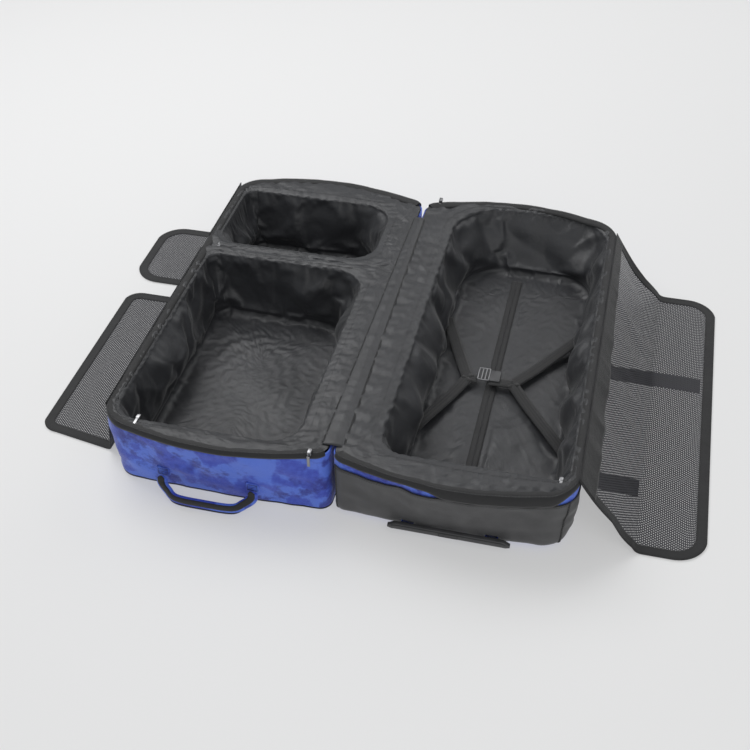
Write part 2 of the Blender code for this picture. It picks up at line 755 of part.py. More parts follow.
def rod(name, x, radius, length):
    """A round bar along X through a wheel's centre."""
    mesh = bpy.data.meshes.new(name)
    shape = bmesh.new()
    turn = Matrix.Rotation(math.pi / 2, 4, "Y")
    bmesh.ops.create_cone(
        shape, cap_ends=True, segments=20, radius1=radius, radius2=radius, depth=length, matrix=turn
    )
    shape.to_mesh(mesh)
    shape.free()
    piece = bpy.data.objects.new(name, mesh)
    piece.location = (x, WHEEL_Y, WHEEL_RADIUS)
    return piece


def wheel(name, x):
    """A turned wheel with a bore, a hub face set in from its tyre, and rounded shoulders."""
    half, rim = WHEEL_WIDTH / 2, WHEEL_RADIUS
    bore = AXLE_RADIUS + AXLE_PLAY
    profile = [(rim, half * 0.6), (rim, -half * 0.6), (rim - 0.0015, -half * 0.88), (rim - 0.004, -half)]
    profile += [(rim * 0.72, -half), (rim * 0.66, -half * 0.7), (bore + 0.004, -half * 0.7)]
    profile += [(bore + 0.003, -half), (bore, -half)]
    profile += [(r, -z) for r, z in reversed(profile[2:])]
    mesh = bpy.data.meshes.new(name)
    shape = bmesh.new()
    ring = [shape.verts.new((r, 0, z)) for r, z in profile]
    for a, b in zip(ring, ring[1:] + ring[:1]):
        shape.edges.new((a, b))
    shape.to_mesh(mesh)
    shape.free()
    piece = bpy.data.objects.new(name, mesh)
    piece.location = (x, WHEEL_Y, WHEEL_RADIUS)
    piece.rotation_euler = (0, math.pi / 2, 0)
    turned = piece.modifiers.new("turn", "SCREW")
    turned.steps = turned.render_steps = 32
    turned.merge_threshold = 0.00001
    turned.use_merge_vertices = True
    return piece


# Straps, buckle and the lining's zip


def lining_wall_x(z):
    """The base lining's two side walls' inner faces at height z."""
    low, high = BASE_LINING_Z + LINING_FOOT_RADIUS, HOUSING_LEDGE_Z
    share = (z - low) / (high - low)
    left = BASE_FLOOR_OUTLINE[0] + (BASE_LEDGE_OUTLINE[0] - BASE_FLOOR_OUTLINE[0]) * share
    right = BASE_FLOOR_OUTLINE[1] + (BASE_LEDGE_OUTLINE[1] - BASE_FLOOR_OUTLINE[1]) * share
    return left + LINING, right - LINING


def cross_v(name, run, stem, low_side, high_side):
    """A flat V of webbing along +x: two legs, spread to each side of y, meet in a stem at 0, 0."""
    half = CROSS_WIDTH / 2
    length = run - stem
    low_wide = CROSS_WIDTH * math.hypot(1, low_side / length)
    high_wide = CROSS_WIDTH * math.hypot(1, high_side / length)
    crotch = (low_wide + high_wide - CROSS_WIDTH) / (low_side + high_side)
    outline = [
        (0, -half),
        (stem, -half),
        (run, -half - low_side),
        (run, -half - low_side + low_wide),
        (stem + crotch * length, half - high_wide + crotch * high_side),
        (run, half + high_side - high_wide),
        (run, half + high_side),
        (stem, half),
        (0, half),
    ]
    return flat(name, [outline], -STRAP / 2, STRAP / 2)


def make_lining_zip(bag):
    half = LINING_ZIP_WIDTH / 2
    low = (LINING_ZIP_X - half, LINING_ZIP_NEAR, LINING_ZIP_TOP - LINING_ZIP_HEIGHT)
    high = (LINING_ZIP_X + half, HOUSING_NEAR - LINING_ZIP_FAR_MARGIN, LINING_ZIP_TOP)
    bag.add(box("lining_zipper", low, high), "binding_tape")
    slider_z = LINING_ZIP_TOP + GAP
    slider_y = LINING_ZIP_NEAR + SLIDER_START
    half_w, half_l = SLIDER_WIDTH / 2, SLIDER_LENGTH / 2
    bag.pivot("lining_zip_slider", (LINING_ZIP_X, slider_y, slider_z), "base")
    low = (LINING_ZIP_X - half_w, slider_y - half_l, slider_z)
    high = (LINING_ZIP_X + half_w, slider_y + half_l, slider_z + SLIDER_HEIGHT)
    bag.add(box("lining_zip_slider", low, high, EDGE), "steel", "lining_zip_slider")
    axis_y = slider_y + PULL_AXIS_Y
    bag.pivot("lining_zip_pull", (LINING_ZIP_X, axis_y, PULL_Z + PULL / 2), "lining_zip_slider")
    low = (LINING_ZIP_X - PULL_WIDTH / 2, axis_y + PULL_END - PULL_LENGTH, PULL_Z)
    high = (LINING_ZIP_X + PULL_WIDTH / 2, axis_y + PULL_END, PULL_Z + PULL)
    bag.add(box("lining_zip_pull", low, high, PULL / 4), "steel", "lining_zip_pull")


def make_cross_straps(bag):
    left, right = lining_wall_x(CROSS_ANCHOR_Z)
    rise = CROSS_ANCHOR_Z - BUCKLE_Z
    half_w, half_h = BUCKLE_WIDTH / 2, BUCKLE_HEIGHT / 2
    low = (BUCKLE_X - BUCKLE_LENGTH, CROSS_Y - half_w, BUCKLE_Z - half_h)
    high = (BUCKLE_X, CROSS_Y + half_w, BUCKLE_Z + half_h)
    bag.add(box("cross_buckle_socket", low, high, 1.5 * EDGE), "black_plastic")

    apex = BUCKLE_X - BUCKLE_LENGTH - GAP
    reach = math.hypot(apex - left - CROSS_END, rise)
    strap = cross_v("cross_strap_left", reach, LEFT_STEM_LENGTH, CROSS_FAR, CROSS_NEAR)
    strap.location = (apex, CROSS_Y, BUCKLE_Z)
    strap.rotation_euler = (0, -math.asin(rise / reach), math.pi)
    bag.add(strap, "webbing")

    apex = BUCKLE_X + GAP
    reach = math.hypot(right - CROSS_END - apex, rise)
    tilt = math.asin(rise / reach)
    strap = cross_v("cross_strap_right", reach, RIGHT_STEM_LENGTH, CROSS_NEAR, CROSS_FAR)
    strap.location = (apex, CROSS_Y, BUCKLE_Z)
    strap.rotation_euler = (0, -tilt, 0)
    bag.add(strap, "webbing")

    slot_w, slot_h = CROSS_WIDTH / 2 + BUCKLE_SLOT, STRAP / 2 + BUCKLE_SLOT
    outlines = [
        block(-PLUG_WIDTH / 2, PLUG_WIDTH / 2, -half_h, half_h),
        block(-slot_w, slot_w, -slot_h, slot_h),
    ]
    plug = flat("cross_buckle_plug", outlines, 0, BUCKLE_LENGTH)
    # the plug's depth runs up along the right strap, and its width along the bag
    along, up = (math.cos(tilt), 0, math.sin(tilt)), (-math.sin(tilt), 0, math.cos(tilt))
    plug.rotation_euler = Matrix(((0, 1, 0), up, along)).transposed().to_euler()
    middle = BUCKLE_LENGTH / 2 + PLUG_START
    plug.location = (apex + middle * along[0], CROSS_Y, BUCKLE_Z + middle * along[2])
    bag.pivot("cross_buckle_plug", (apex, CROSS_Y, BUCKLE_Z), "base")
    bag.add(plug, "black_plastic", "cross_buckle_plug")


def make_side_straps(bag):
    """Webbing straps that drop from the base's outer wall and lie out across the floor."""
    places = (
        ("near", SIDE_STRAP_NEAR_Y, SIDE_STRAP_NEAR_REACH),
        ("far", SIDE_STRAP_FAR_Y, SIDE_STRAP_FAR_REACH),
    )
    bend = SIDE_STRAP_BEND
    for name, y, reach in places:
        path = []
        for z in (SIDE_STRAP_TOP, bend):
            foot_x = HALF_WIDTH - WALL_LEAN * (1 - wall_share(z)) + PANEL_GAP + STRAP / 2
            path.append((foot_x, z))
        for step in range(1, ARC_STEPS + 1):
            angle = math.pi / 2 * step / ARC_STEPS
            drop = bend * (1 - math.sin(angle))
            path.append((foot_x + bend * (1 - math.cos(angle)), drop + STRAP / 2))
        path.append((reach, STRAP / 2))
        rows = [[(x, y + side * SIDE_STRAP_WIDTH / 2, z) for x, z in path] for side in (-1, 1)]
        piece = skin(f"side_strap_{name}", rows, STRAP, False, False, True)
        piece.modifiers["thickness"].offset = 0.0
        bag.add(piece, "webbing")


# Lid


def make_lid(bag):
    bag.pivot("lid", (0, 0, LID_AXIS_Z), "base")
    bag.add(shell("lid_shell", -1, 0.0), "shell_cloth", "lid")
    rooms = (
        ("lid_main_lining", LID_BORDER_NEAR, DIVIDER_Y - DIVIDER_BORDER),
        ("lid_small_lining", DIVIDER_Y + DIVIDER_BORDER, LENGTH - LID_FAR_MARGIN),
    )
    holes = []
    for name, near, far in rooms:
        rim = lid_outline(near, far, 0.0)
        levels = [(LID_LINING_Z, lid_outline(near, far, 1.0)), (RIM - COLLAR, rim)]
        bag.add(tub(name, -1, LID_LINING_Z, levels), "lining_cloth", "lid")
        holes.append(mirrored(rim_opening(rim)))
    outlines = [mirrored(wall_outline(RIM))] + holes
    flange = flat("lid_rim_flange", outlines, FLANGE_Z, FLANGE_Z + FLANGE)
    bag.add(flange, "lining_cloth", "lid")
    bag.add(zipper_tape("lid_zipper_tape", -1), "binding_tape", "lid")
    low = (-HALF_WIDTH + DIVIDER_OUTER, DIVIDER_Y - DIVIDER_WALL / 2, SHELL_WALL + GAP)
    high = (-DIVIDER_HINGE, DIVIDER_Y + DIVIDER_WALL / 2, RIM)
    bag.add(box("lid_divider", low, high, 2 * EDGE), "board", "lid")


def make_handle(bag):
    """A grab handle on the lid's near wall, with a sewn tab at each end."""
    ends = [HANDLE_X - HANDLE_SPAN / 2, HANDLE_X + HANDLE_SPAN / 2]
    for hand, x in (("right", ends[0]), ("left", ends[1])):
        rows = []
        for z in (HANDLE_Z - TAB_HEIGHT / 2, HANDLE_Z + TAB_HEIGHT / 2):
            row = []
            for step in (1, 0, -1):
                across = x + step * TAB_WIDTH / 2
                row.append((-across, near_wall_y(across, z) - PANEL_GAP, z))
            rows.append(row)
        tab = skin(f"handle_tab_{hand}", rows, TAB_THICKNESS, False, False, True)
        bag.add(tab, "shell_cloth", "lid")
    deepest = min(near_wall_y(x + side * HANDLE_BAND / 2, HANDLE_Z) for x in ends for side in (-1, 1))
    axis_y = deepest - PANEL_GAP - TAB_THICKNESS - GAP - HANDLE_THICKNESS / 2
    bag.pivot("lid_handle", (-HANDLE_X, axis_y, HANDLE_Z), "lid")
    half = (HANDLE_SPAN + HANDLE_BAND) / 2
    outline = u_shape(-HANDLE_DROP, 0.0, -half, half, HANDLE_CORNER, HANDLE_BAND)
    handle = flat("lid_handle", [outline], -HANDLE_THICKNESS / 2, HANDLE_THICKNESS / 2)
    # the U's -x runs down the slope, and its y runs along the wall
    down, out = math.sin(HANDLE_SLOPE), math.cos(HANDLE_SLOPE)
    handle.rotation_euler = Matrix(((0, -1, 0), (out, 0, down), (down, 0, -out))).to_euler()
    handle.location = (-HANDLE_X, axis_y, HANDLE_Z)
    bag.add(handle, "shell_cloth", "lid_handle")


def make_flap(bag, prefix, side, near, far, reach, slope, rest_z):
    """A mesh flap in two panels: one slopes from the rim to the floor, the other lies on it."""
    drop = (FLAP_AXIS_Z - rest_z) / math.sin(slope)
    fold_x = FLAP_AXIS_X + drop * math.cos(slope)
    half = FLAP_THICKNESS / 2
    parent = "base" if side > 0 else "lid"
    inner_body, outer_body = f"{prefix}_inner", f"{prefix}_outer"
    bag.pivot(inner_body, (side * FLAP_AXIS_X, 0, FLAP_AXIS_Z), parent)
    bag.pivot(outer_body, (side * fold_x, 0, rest_z), inner_body)

    hem, window = FLAP_HEM, FLAP_HEM + GAP
    first, last = FLAP_START, drop - FLAP_START
    panels = [
        ("hem", u_shape(first, last, near, far, 0.0, hem, arc=1), inner_body, "binding_tape"),
        ("mesh_inner", block(first + window, last, near + window, far - window), inner_body, "mesh_cloth"),
    ]
    outer = reach - fold_x
    frame = u_shape(-outer, -FLAP_START, near, far, FLAP_CORNER, hem)
    sheet = rounded(
        FLAP_START,
        outer - window,
        near + window,
        far - window,
        [0.001, FLAP_CORNER - window, FLAP_CORNER - window, 0.001],
        arc=5,
        run=1,
    )
    panels.append(("binding", [(-x, y) for x, y in frame], outer_body, "binding_tape"))
    panels.append(("mesh_outer", sheet, outer_body, "mesh_cloth"))
    for name, outline, body, finish in panels:
        flipped = [(side * x, y) for x, y in outline]
        piece = flat(f"{prefix}_{name}", [flipped], -half, half)
        if body == inner_body:
            piece.rotation_euler = (0, side * slope, 0)
            piece.location = (side * FLAP_AXIS_X, 0, FLAP_AXIS_Z)
        else:
            piece.location = (side * fold_x, 0, rest_z)
        bag.add(piece, finish, body)


def make_flaps(bag):
    base_rest = STRAP + GAP + FLAP_THICKNESS / 2
    lid_rest = FLAP_THICKNESS / 2
    main_far = DIVIDER_Y - DIVIDER_BORDER
    small_near = DIVIDER_Y + DIVIDER_BORDER + SMALL_FLAP_NEAR_MARGIN
    far = LENGTH - BASE_FLAP_FAR_MARGIN
    small_far = LENGTH - SMALL_FLAP_FAR_MARGIN
    make_flap(bag, "base_flap", 1, BASE_FLAP_NEAR, far, BASE_FLAP_REACH, BASE_FLAP_SLOPE, base_rest)
    make_flap(bag, "lid_flap", -1, LID_FLAP_NEAR, main_far, LID_FLAP_REACH, LID_FLAP_SLOPE, lid_rest)
    make_flap(bag, "small_flap", -1, small_near, small_far, SMALL_FLAP_REACH, LID_FLAP_SLOPE, lid_rest)


# Zip sliders


def slider(name, profile, width):
    """A zip slider with its pull, as one profile in Y and Z, given a width along X."""
    piece = flat(name, [profile], -width / 2, width / 2)
    piece.rotation_euler = Matrix(((0, 0, 1), (1, 0, 0), (0, 1, 0))).to_euler()
    return piece


def make_sliders(bag):
    places = (
        ("base_flap_slider", "base", HALF_WIDTH - FLAP_SLIDER_OUTER, BASE_BORDER_NEAR - FLAP_SLIDER_NEAR),
        ("lid_flap_slider", "lid", LID_SLIDER_OUTER - HALF_WIDTH, LID_BORDER_NEAR - LID_SLIDER_NEAR),
        ("small_flap_slider", "lid", FLAP_SLIDER_OUTER - HALF_WIDTH, DIVIDER_Y - SMALL_SLIDER_NEAR),
    )
    for name, parent, x, y in places:
        bag.pivot(name, (x, y, TAPE_Z), parent)
        piece = slider(name, FLAP_SLIDER_PROFILE, FLAP_SLIDER_WIDTH)
        piece.location = (x, y, TAPE_Z)
        bag.add(piece, "steel", name)

    tape_middle = TAPE_INSET + TAPE_WIDTH / 2
    x = SEAM_X + HINGE_RADIUS + MAIN_SLIDER_INSET
    bow = math.sin(math.pi * (x - SEAM_X) / (HALF_WIDTH - SEAM_X))
    places = (
        ("main_slider_near", "lid", -x, -BOW_NEAR_RIM * bow + tape_middle, 1),
        ("main_slider_far", "base", x, LENGTH + BOW_FAR_RIM * bow - tape_middle, -1),
    )
    for name, parent, x, y, facing in places:
        z = TAPE_TOP + GAP
        bag.pivot(name, (x, y, z), parent)
        profile = [(facing * across, up) for across, up in MAIN_SLIDER_PROFILE]
        piece = slider(name, profile, FLAP_SLIDER_WIDTH)
        piece.location = (x, y, z)
        bag.add(piece, "steel", name)


def main():
    for old in list(bpy.data.objects):
        bpy.data.objects.remove(old)
    bag = Bag()
    make_base_shells(bag)
    make_base_lining(bag)
    make_trolley(bag)
    make_wheels(bag)
    make_lining_zip(bag)
    make_cross_straps(bag)
    make_side_straps(bag)
    make_lid(bag)
    make_handle(bag)
    make_flaps(bag)
    make_sliders(bag)


main()
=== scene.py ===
"""Looks of a wheeled split-level travel bag that lies open, like a book, on a studio floor."""

import json
import logging
import math
from collections.abc import Callable, Iterable, Sequence
from dataclasses import dataclass, field
from enum import Enum

import bmesh
import bpy
import numpy as np
from mathutils import Matrix, Vector

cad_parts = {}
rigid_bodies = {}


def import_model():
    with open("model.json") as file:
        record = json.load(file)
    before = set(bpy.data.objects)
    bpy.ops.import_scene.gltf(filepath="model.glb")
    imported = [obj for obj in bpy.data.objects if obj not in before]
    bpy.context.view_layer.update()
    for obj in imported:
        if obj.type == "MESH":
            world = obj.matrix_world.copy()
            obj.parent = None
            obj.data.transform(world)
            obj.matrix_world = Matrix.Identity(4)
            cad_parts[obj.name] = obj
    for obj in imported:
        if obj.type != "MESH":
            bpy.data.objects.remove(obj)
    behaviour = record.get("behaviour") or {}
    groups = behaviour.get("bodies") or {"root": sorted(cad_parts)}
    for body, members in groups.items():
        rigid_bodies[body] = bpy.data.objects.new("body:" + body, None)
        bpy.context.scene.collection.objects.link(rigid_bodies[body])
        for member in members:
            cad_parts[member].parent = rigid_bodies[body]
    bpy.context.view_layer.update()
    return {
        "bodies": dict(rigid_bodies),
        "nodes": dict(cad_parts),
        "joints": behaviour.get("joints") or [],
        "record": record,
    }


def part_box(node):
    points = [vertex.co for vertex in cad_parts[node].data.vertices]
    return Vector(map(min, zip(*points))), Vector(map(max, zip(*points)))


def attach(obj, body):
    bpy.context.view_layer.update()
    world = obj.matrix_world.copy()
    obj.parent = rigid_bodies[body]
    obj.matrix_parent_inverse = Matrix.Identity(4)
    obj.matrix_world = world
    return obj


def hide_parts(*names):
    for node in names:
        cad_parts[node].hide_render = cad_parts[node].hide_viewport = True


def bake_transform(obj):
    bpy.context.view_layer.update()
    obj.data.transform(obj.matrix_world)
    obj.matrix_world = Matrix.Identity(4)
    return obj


LOG = logging.getLogger("travel_bag")
HALVES = (("base", 1), ("lid", -1))  # each half's body, and the side of the hinge it lies on
HANDS = ("left", "right")
MERGE = 1e-6  # points closer than this are one

Points = np.ndarray
Colour = tuple[float, float, float]


# Shader maths


class Value:
    """One shader socket that Python's operators work on."""

    def __init__(self, tree: "Tree", socket: bpy.types.NodeSocket) -> None:
        """Wraps a socket of a tree."""
        self.tree = tree
        self.socket = socket

    def join(self, operation: str, other: "Value | float", flipped: bool = False) -> "Value":
        """Adds a Math node.

        Args:
            operation: the Math node's operation.
            other: the second value.
            flipped: whether the other value comes first.

        Returns:
            The node's result.
        """
        pair = (other, self) if flipped else (self, other)
        return self.tree.add("ShaderNodeMath", {"operation": operation}, pair)

    def __add__(self, other: "Value | float") -> "Value":
        """Self plus other."""
        return self.join("ADD", other)

    def __radd__(self, other: float) -> "Value":
        """Other plus self."""
        return self.join("ADD", other, True)

    def __sub__(self, other: "Value | float") -> "Value":
        """Self minus other."""
        return self.join("SUBTRACT", other)

    def __rsub__(self, other: float) -> "Value":
        """Other minus self."""
        return self.join("SUBTRACT", other, True)

    def __mul__(self, other: "Value | float") -> "Value":
        """Self times other."""
        return self.join("MULTIPLY", other)

    def __rmul__(self, other: float) -> "Value":
        """Other times self."""
        return self.join("MULTIPLY", other, True)

    def __truediv__(self, other: "Value | float") -> "Value":
        """Self divided by other."""
        return self.join("DIVIDE", other)

    def __gt__(self, other: "Value | float") -> "Value":
        """1 where self is greater, and 0 elsewhere."""
        return self.join("GREATER_THAN", other)

    def __abs__(self) -> "Value":
        """Self without its sign."""
        return self.join("ABSOLUTE", 0.0)

    def wave(self, pitch: float) -> "Value":
        """The cosine of self, with one cycle per pitch."""
        return (self * (2 * math.pi / pitch)).join("COSINE", 0.0)


class Tree:
    """A material's node tree, and the one way to add a node to it."""

    def __init__(self, name: str) -> None:
        """Starts a material that has its Principled shader and nothing else.

        Args:
            name: the material's name.
        """
        self.material = bpy.data.materials.new(name)
        self.material.use_nodes = True
        self.nodes = self.material.node_tree.nodes
        self.shader = self.nodes["Principled BSDF"]

    def add(
        self,
        kind: str,
        settings: dict | None = None,
        sockets: Sequence | dict = (),
        output: int | str = 0,
    ) -> Value:
        """Adds a node.

        Args:
            kind: the node's type.
            settings: its properties.
            sockets: values or links for its inputs, in order or by name.
            output: the output to return.

        Returns:
            That output.
        """
        node = self.nodes.new(kind)
        for key, value in (settings or {}).items():
            setattr(node, key, value)
        pairs = sockets.items() if isinstance(sockets, dict) else enumerate(sockets)
        for key, value in pairs:
            self.feed(node.inputs[key], value)
        return Value(self, node.outputs[output])

    def feed(self, socket: bpy.types.NodeSocket, value: "Value | float | Sequence") -> None:
        """Links a value to a socket, or sets the socket's own number.

        Args:
            socket: the socket.
            value: a link, or the socket's own number.
        """
        if isinstance(value, Value):
            self.material.node_tree.links.new(value.socket, socket)
        else:
            socket.default_value = value

    def uv(self) -> tuple[Value, Value, Value]:
        """The piece's own cut plan, in metres: the vector, and its two parts."""
        vector = self.add("ShaderNodeTexCoord", output="UV")
        return vector, *self.split(vector)

    def place(self) -> Value:
        """The object's own space, in metres."""
        return self.add("ShaderNodeTexCoord", output="Object")

    def split(self, vector: Value) -> tuple[Value, Value]:
        """A vector's first two parts.

        Args:
            vector: the vector.

        Returns:
            Its X and Y parts.
        """
        first = self.add("ShaderNodeSeparateXYZ", sockets=(vector,))
        node = first.socket.node
        return first, Value(self, node.outputs[1])

    def noise(self, vector: Value, scale: float, detail: float = 3.0, rough: float = 0.5) -> Value:
        """Noise from 0 to 1, with about scale features to a metre."""
        sockets = {"Vector": vector, "Scale": scale, "Detail": detail, "Roughness": rough}
        return self.add("ShaderNodeTexNoise", sockets=sockets)

    def mix(self, share: Value, first: "Value | Colour", second: "Value | Colour") -> Value:
        """A colour between two, by a share.

        Args:
            share: how much of the second.
            first: the first colour.
            second: the second colour.

        Returns:
            The mixed colour.
        """
        ends = [end if isinstance(end, Value) else (*end, 1.0) for end in (first, second)]
        settings = {"data_type": "RGBA", "clamp_factor": True}
        return self.add("ShaderNodeMix", settings, {0: share, 6: ends[0], 7: ends[1]}, 2)

    def ramp(self, value: Value, low: float, high: float) -> Value:
        """A value stretched so that low is 0 and high is 1, and clamped."""
        sockets = (value, low, high, 0.0, 1.0)
        return self.add("ShaderNodeMapRange", {"clamp": True}, sockets)

    def bump(self, layers: Iterable[tuple[Value, float]]) -> None:
        """Stacks height layers, each with its depth in metres, on the shader's normal.

        Args:
            layers: each height, with its depth.
        """
        normal = None
        for height, depth in layers:
            sockets = {"Height": height, "Distance": depth, "Strength": 1.0}
            if normal:
                sockets["Normal"] = normal
            normal = self.add("ShaderNodeBump", sockets=sockets)
        self.feed(self.shader.inputs["Normal"], normal)


def srgb(red: int, green: int, blue: int) -> Colour:
    """A screen colour as a linear one.

    Args:
        red: the red level, from 0 to 255.
        green: the green level.
        blue: the blue level.

    Returns:
        The colour's linear parts.
    """
    return tuple(
        part / 12.92 if part <= 0.04045 else ((part + 0.055) / 1.055) ** 2.4
        for part in (red / 255, green / 255, blue / 255)
    )


def tint(colour: Colour, factor: float) -> Colour:
    """A colour made darker or lighter."""
    return tuple(min(part * factor, 1.0) for part in colour)


@dataclass(frozen=True)
class Finish:
    """A finish of one colour that varies a little."""

    name: str
    colour: Colour
    roughness: float = 0.6
    metallic: float = 0.0
    grain: float = 900.0  # features to a metre
    depth: float = 0.00006
    sheen: float = 0.0

    def paint(self) -> bpy.types.Material:
        """Builds the material.

        Returns:
            The finished material.
        """
        tree = Tree(self.name)
        tree.shader.inputs["Metallic"].default_value = self.metallic
        tree.shader.inputs["Sheen Weight"].default_value = self.sheen
        tree.shader.inputs["Sheen Roughness"].default_value = 0.4
        self.dress(tree)
        return tree.material

    def dress(self, tree: Tree) -> None:
        """Adds the finish's own nodes: moulded grain and slight wear.

        Args:
            tree: the material's tree.
        """
        place = tree.place()
        grain = tree.noise(place, self.grain, 2.0)
        wear = tree.noise(place, 45.0, 4.0)
        colour = tree.mix(tree.ramp(wear, 0.3, 0.75), tint(self.colour, 0.82), tint(self.colour, 1.18))
        tree.feed(tree.shader.inputs["Base Color"], colour)
        rough = self.roughness - 0.06 + wear * 0.12
        tree.feed(tree.shader.inputs["Roughness"], rough)
        tree.bump([(grain, self.depth)])


@dataclass(frozen=True)
class Cloth(Finish):
    """Plain woven cloth: warp and weft show as a fine relief, and the dye as slight clouds."""

    pitch: float = 0.0011
    relief: float = 0.00012
    clouds: float = 0.12

    def threads(self, tree: Tree) -> Value:
        """The weave's height, from 0 to 1.

        Args:
            tree: the material's tree.

        Returns:
            The height.
        """
        _, across, along = tree.uv()
        warp, weft = across.wave(self.pitch), along.wave(self.pitch)
        return (warp * weft + 1.0) * 0.5

    def dyed(self, tree: Tree) -> Value:
        """The cloth's colour before its threads darken it.

        Args:
            tree: the material's tree.

        Returns:
            The colour.
        """
        clouds = tree.noise(tree.place(), 16.0, 4.0)
        low, high = tint(self.colour, 1 - self.clouds), tint(self.colour, 1 + self.clouds)
        return tree.mix(tree.ramp(clouds, 0.35, 0.65), low, high)

    def dress(self, tree: Tree) -> None:
        """Adds the weave, the dye's clouds and small creases.

        Args:
            tree: the material's tree.
        """
        threads = self.threads(tree)
        base = self.dyed(tree)
        dark = tree.mix(threads * 0.22, base, (0.0, 0.0, 0.0))
        tree.feed(tree.shader.inputs["Base Color"], dark)
        tree.feed(tree.shader.inputs["Roughness"], self.roughness - 0.05 + threads * 0.1)
        creases = tree.noise(tree.place(), 60.0, 5.0, 0.6)
        tree.bump([(creases, 0.0009), (threads, self.relief)])


@dataclass(frozen=True)
class CloudPrint(Cloth):
    """Polyester printed with soft blocks of several blues."""

    light: Colour = (0.1, 0.2, 0.8)
    dark: Colour = (0.03, 0.06, 0.4)

    def dyed(self, tree: Tree) -> Value:
        """The print: soft-edged patches in a dark and a light tone over the ground colour.

        Args:
            tree: the material's tree.

        Returns:
            The colour.
        """
        place = tree.place()
        warp = tree.noise(place, 9.0, 3.0)
        patches = tree.noise(place, 17.0, 4.0, 0.55)
        flecks = tree.noise(place, 38.0, 4.0, 0.6)
        ground = tree.mix(tree.ramp(patches, 0.47, 0.53), self.colour, self.light)
        shaded = tree.mix(tree.ramp(flecks * 0.6 + warp * 0.4, 0.52, 0.60), ground, self.dark)
        haze = tree.noise(place, 140.0, 2.0)
        return tree.mix(tree.ramp(haze, 0.35, 0.75) * 0.35, shaded, self.light)


@dataclass(frozen=True)
class Ribbed(Cloth):
    """Grosgrain or zip tape: ribs run across the band."""

    rib: float = 0.0014

    def threads(self, tree: Tree) -> Value:
        """The ribs' height, crossed by fine threads."""
        _, across, along = tree.uv()
        return (across.wave(self.rib) * 0.75 + along.wave(self.pitch) * 0.25 + 1.0) * 0.5


@dataclass(frozen=True)
class Webbing(Cloth):
    """Heavy webbing in a herringbone of slanted ribs."""

    rib: float = 0.0022

    def threads(self, tree: Tree) -> Value:
        """The herringbone's height.

        Args:
            tree: the material's tree.

        Returns:
            The height.
        """
        _, across, along = tree.uv()
        slant = abs(along.wave(0.011)) * 0.0025
        return ((across + slant).wave(self.rib) + 1.0) * 0.5


@dataclass(frozen=True)
class Netting(Cloth):
    """Knitted mesh with a hexagonal lattice of holes."""

    hole_pitch: float = 0.0034
    open_level: float = 0.05

    def dress(self, tree: Tree) -> None:
        """Adds the knit, its holes, and the painted shading of its threads.

        Args:
            tree: the material's tree.
        """
        _, across, along = tree.uv()
        half = math.sqrt(3) / 2
        lattice = across.wave(self.hole_pitch)
        lattice = lattice + (across * 0.5 + along * half).wave(self.hole_pitch)
        lattice = lattice + (across * 0.5 - along * half).wave(self.hole_pitch)
        hole = lattice > self.open_level
        # Painted shading: each thread is painted half again lighter at its middle as a painted highlight, and
        # darker towards the holes as painted shade.
        knit_painted_shading = tree.mix(tree.ramp(lattice, -1.5, self.open_level), tint(self.colour, 1.5), self.colour)
        tree.feed(tree.shader.inputs["Base Color"], knit_painted_shading)
        tree.feed(tree.shader.inputs["Alpha"], 1.0 - hole)
        tree.shader.inputs["Roughness"].default_value = self.roughness
        tree.bump([(lattice * -0.3, 0.0005)])


@dataclass(frozen=True)
class Turned(Finish):
    """Metal drawn or rolled along one direction."""

    streak: tuple[float, float, float] = (1.0, 40.0, 1.0)

    def dress(self, tree: Tree) -> None:
        """Adds fine streaks to the gloss.

        Args:
            tree: the material's tree.
        """
        place = tree.add("ShaderNodeMapping", {}, {"Vector": tree.place(), "Scale": self.streak})
        streaks = tree.noise(place, 160.0, 3.0)
        tree.feed(tree.shader.inputs["Roughness"], self.roughness - 0.08 + streaks * 0.2)
        tree.shader.inputs["Base Color"].default_value = (*self.colour, 1.0)
        tree.bump([(streaks, 0.00002)])


class Slot(Enum):
    """The record's material slots."""

    SHELL = "shell_cloth"
    PANEL = "coated_panel"
    LINING = "lining_cloth"
    MESH = "mesh_cloth"
    BINDING = "binding_tape"
    WEBBING = "webbing"
    PLASTIC = "black_plastic"
    BOARD = "board"
    TYRE = "tyre"
    ALUMINIUM = "aluminium"
    STEEL = "steel"


FINISHES: dict[Slot, Finish] = {
    Slot.SHELL: CloudPrint(
        "blue_print",
        srgb(56, 76, 192),
        roughness=0.62,
        sheen=0.25,
        light=srgb(90, 124, 230),
        dark=srgb(40, 50, 150),
        pitch=0.0012,
    ),
    Slot.PANEL: Finish("coated_cloth", srgb(70, 70, 71), 0.52, grain=700.0, depth=0.00012, sheen=0.1),
    Slot.LINING: Cloth("satin_lining", srgb(45, 46, 49), 0.42, sheen=0.16, pitch=0.0008, relief=0.00006),
    Slot.MESH: Netting("knitted_mesh", srgb(48, 48, 52), 0.7, open_level=1.35),
    Slot.BINDING: Ribbed("grosgrain", srgb(38, 38, 39), 0.75, sheen=0.15, relief=0.00018),
    Slot.WEBBING: Webbing("woven_webbing", srgb(32, 32, 33), 0.7, sheen=0.2, relief=0.0003),
    Slot.PLASTIC: Finish("moulded_plastic", srgb(66, 66, 68), 0.42, grain=1400.0, depth=0.00005),
    Slot.BOARD: Finish("stiffening_board", srgb(70, 64, 58), 0.8),
    Slot.TYRE: Finish("rubber_tyre", srgb(38, 38, 39), 0.72, grain=600.0, depth=0.0001),
    Slot.ALUMINIUM: Turned("drawn_tube", srgb(196, 199, 203), 0.32, metallic=1.0),
    Slot.STEEL: Turned("plated_steel", srgb(150, 150, 152), 0.30, metallic=1.0, streak=(1.0, 1.0, 12.0)),
}


# Shapes


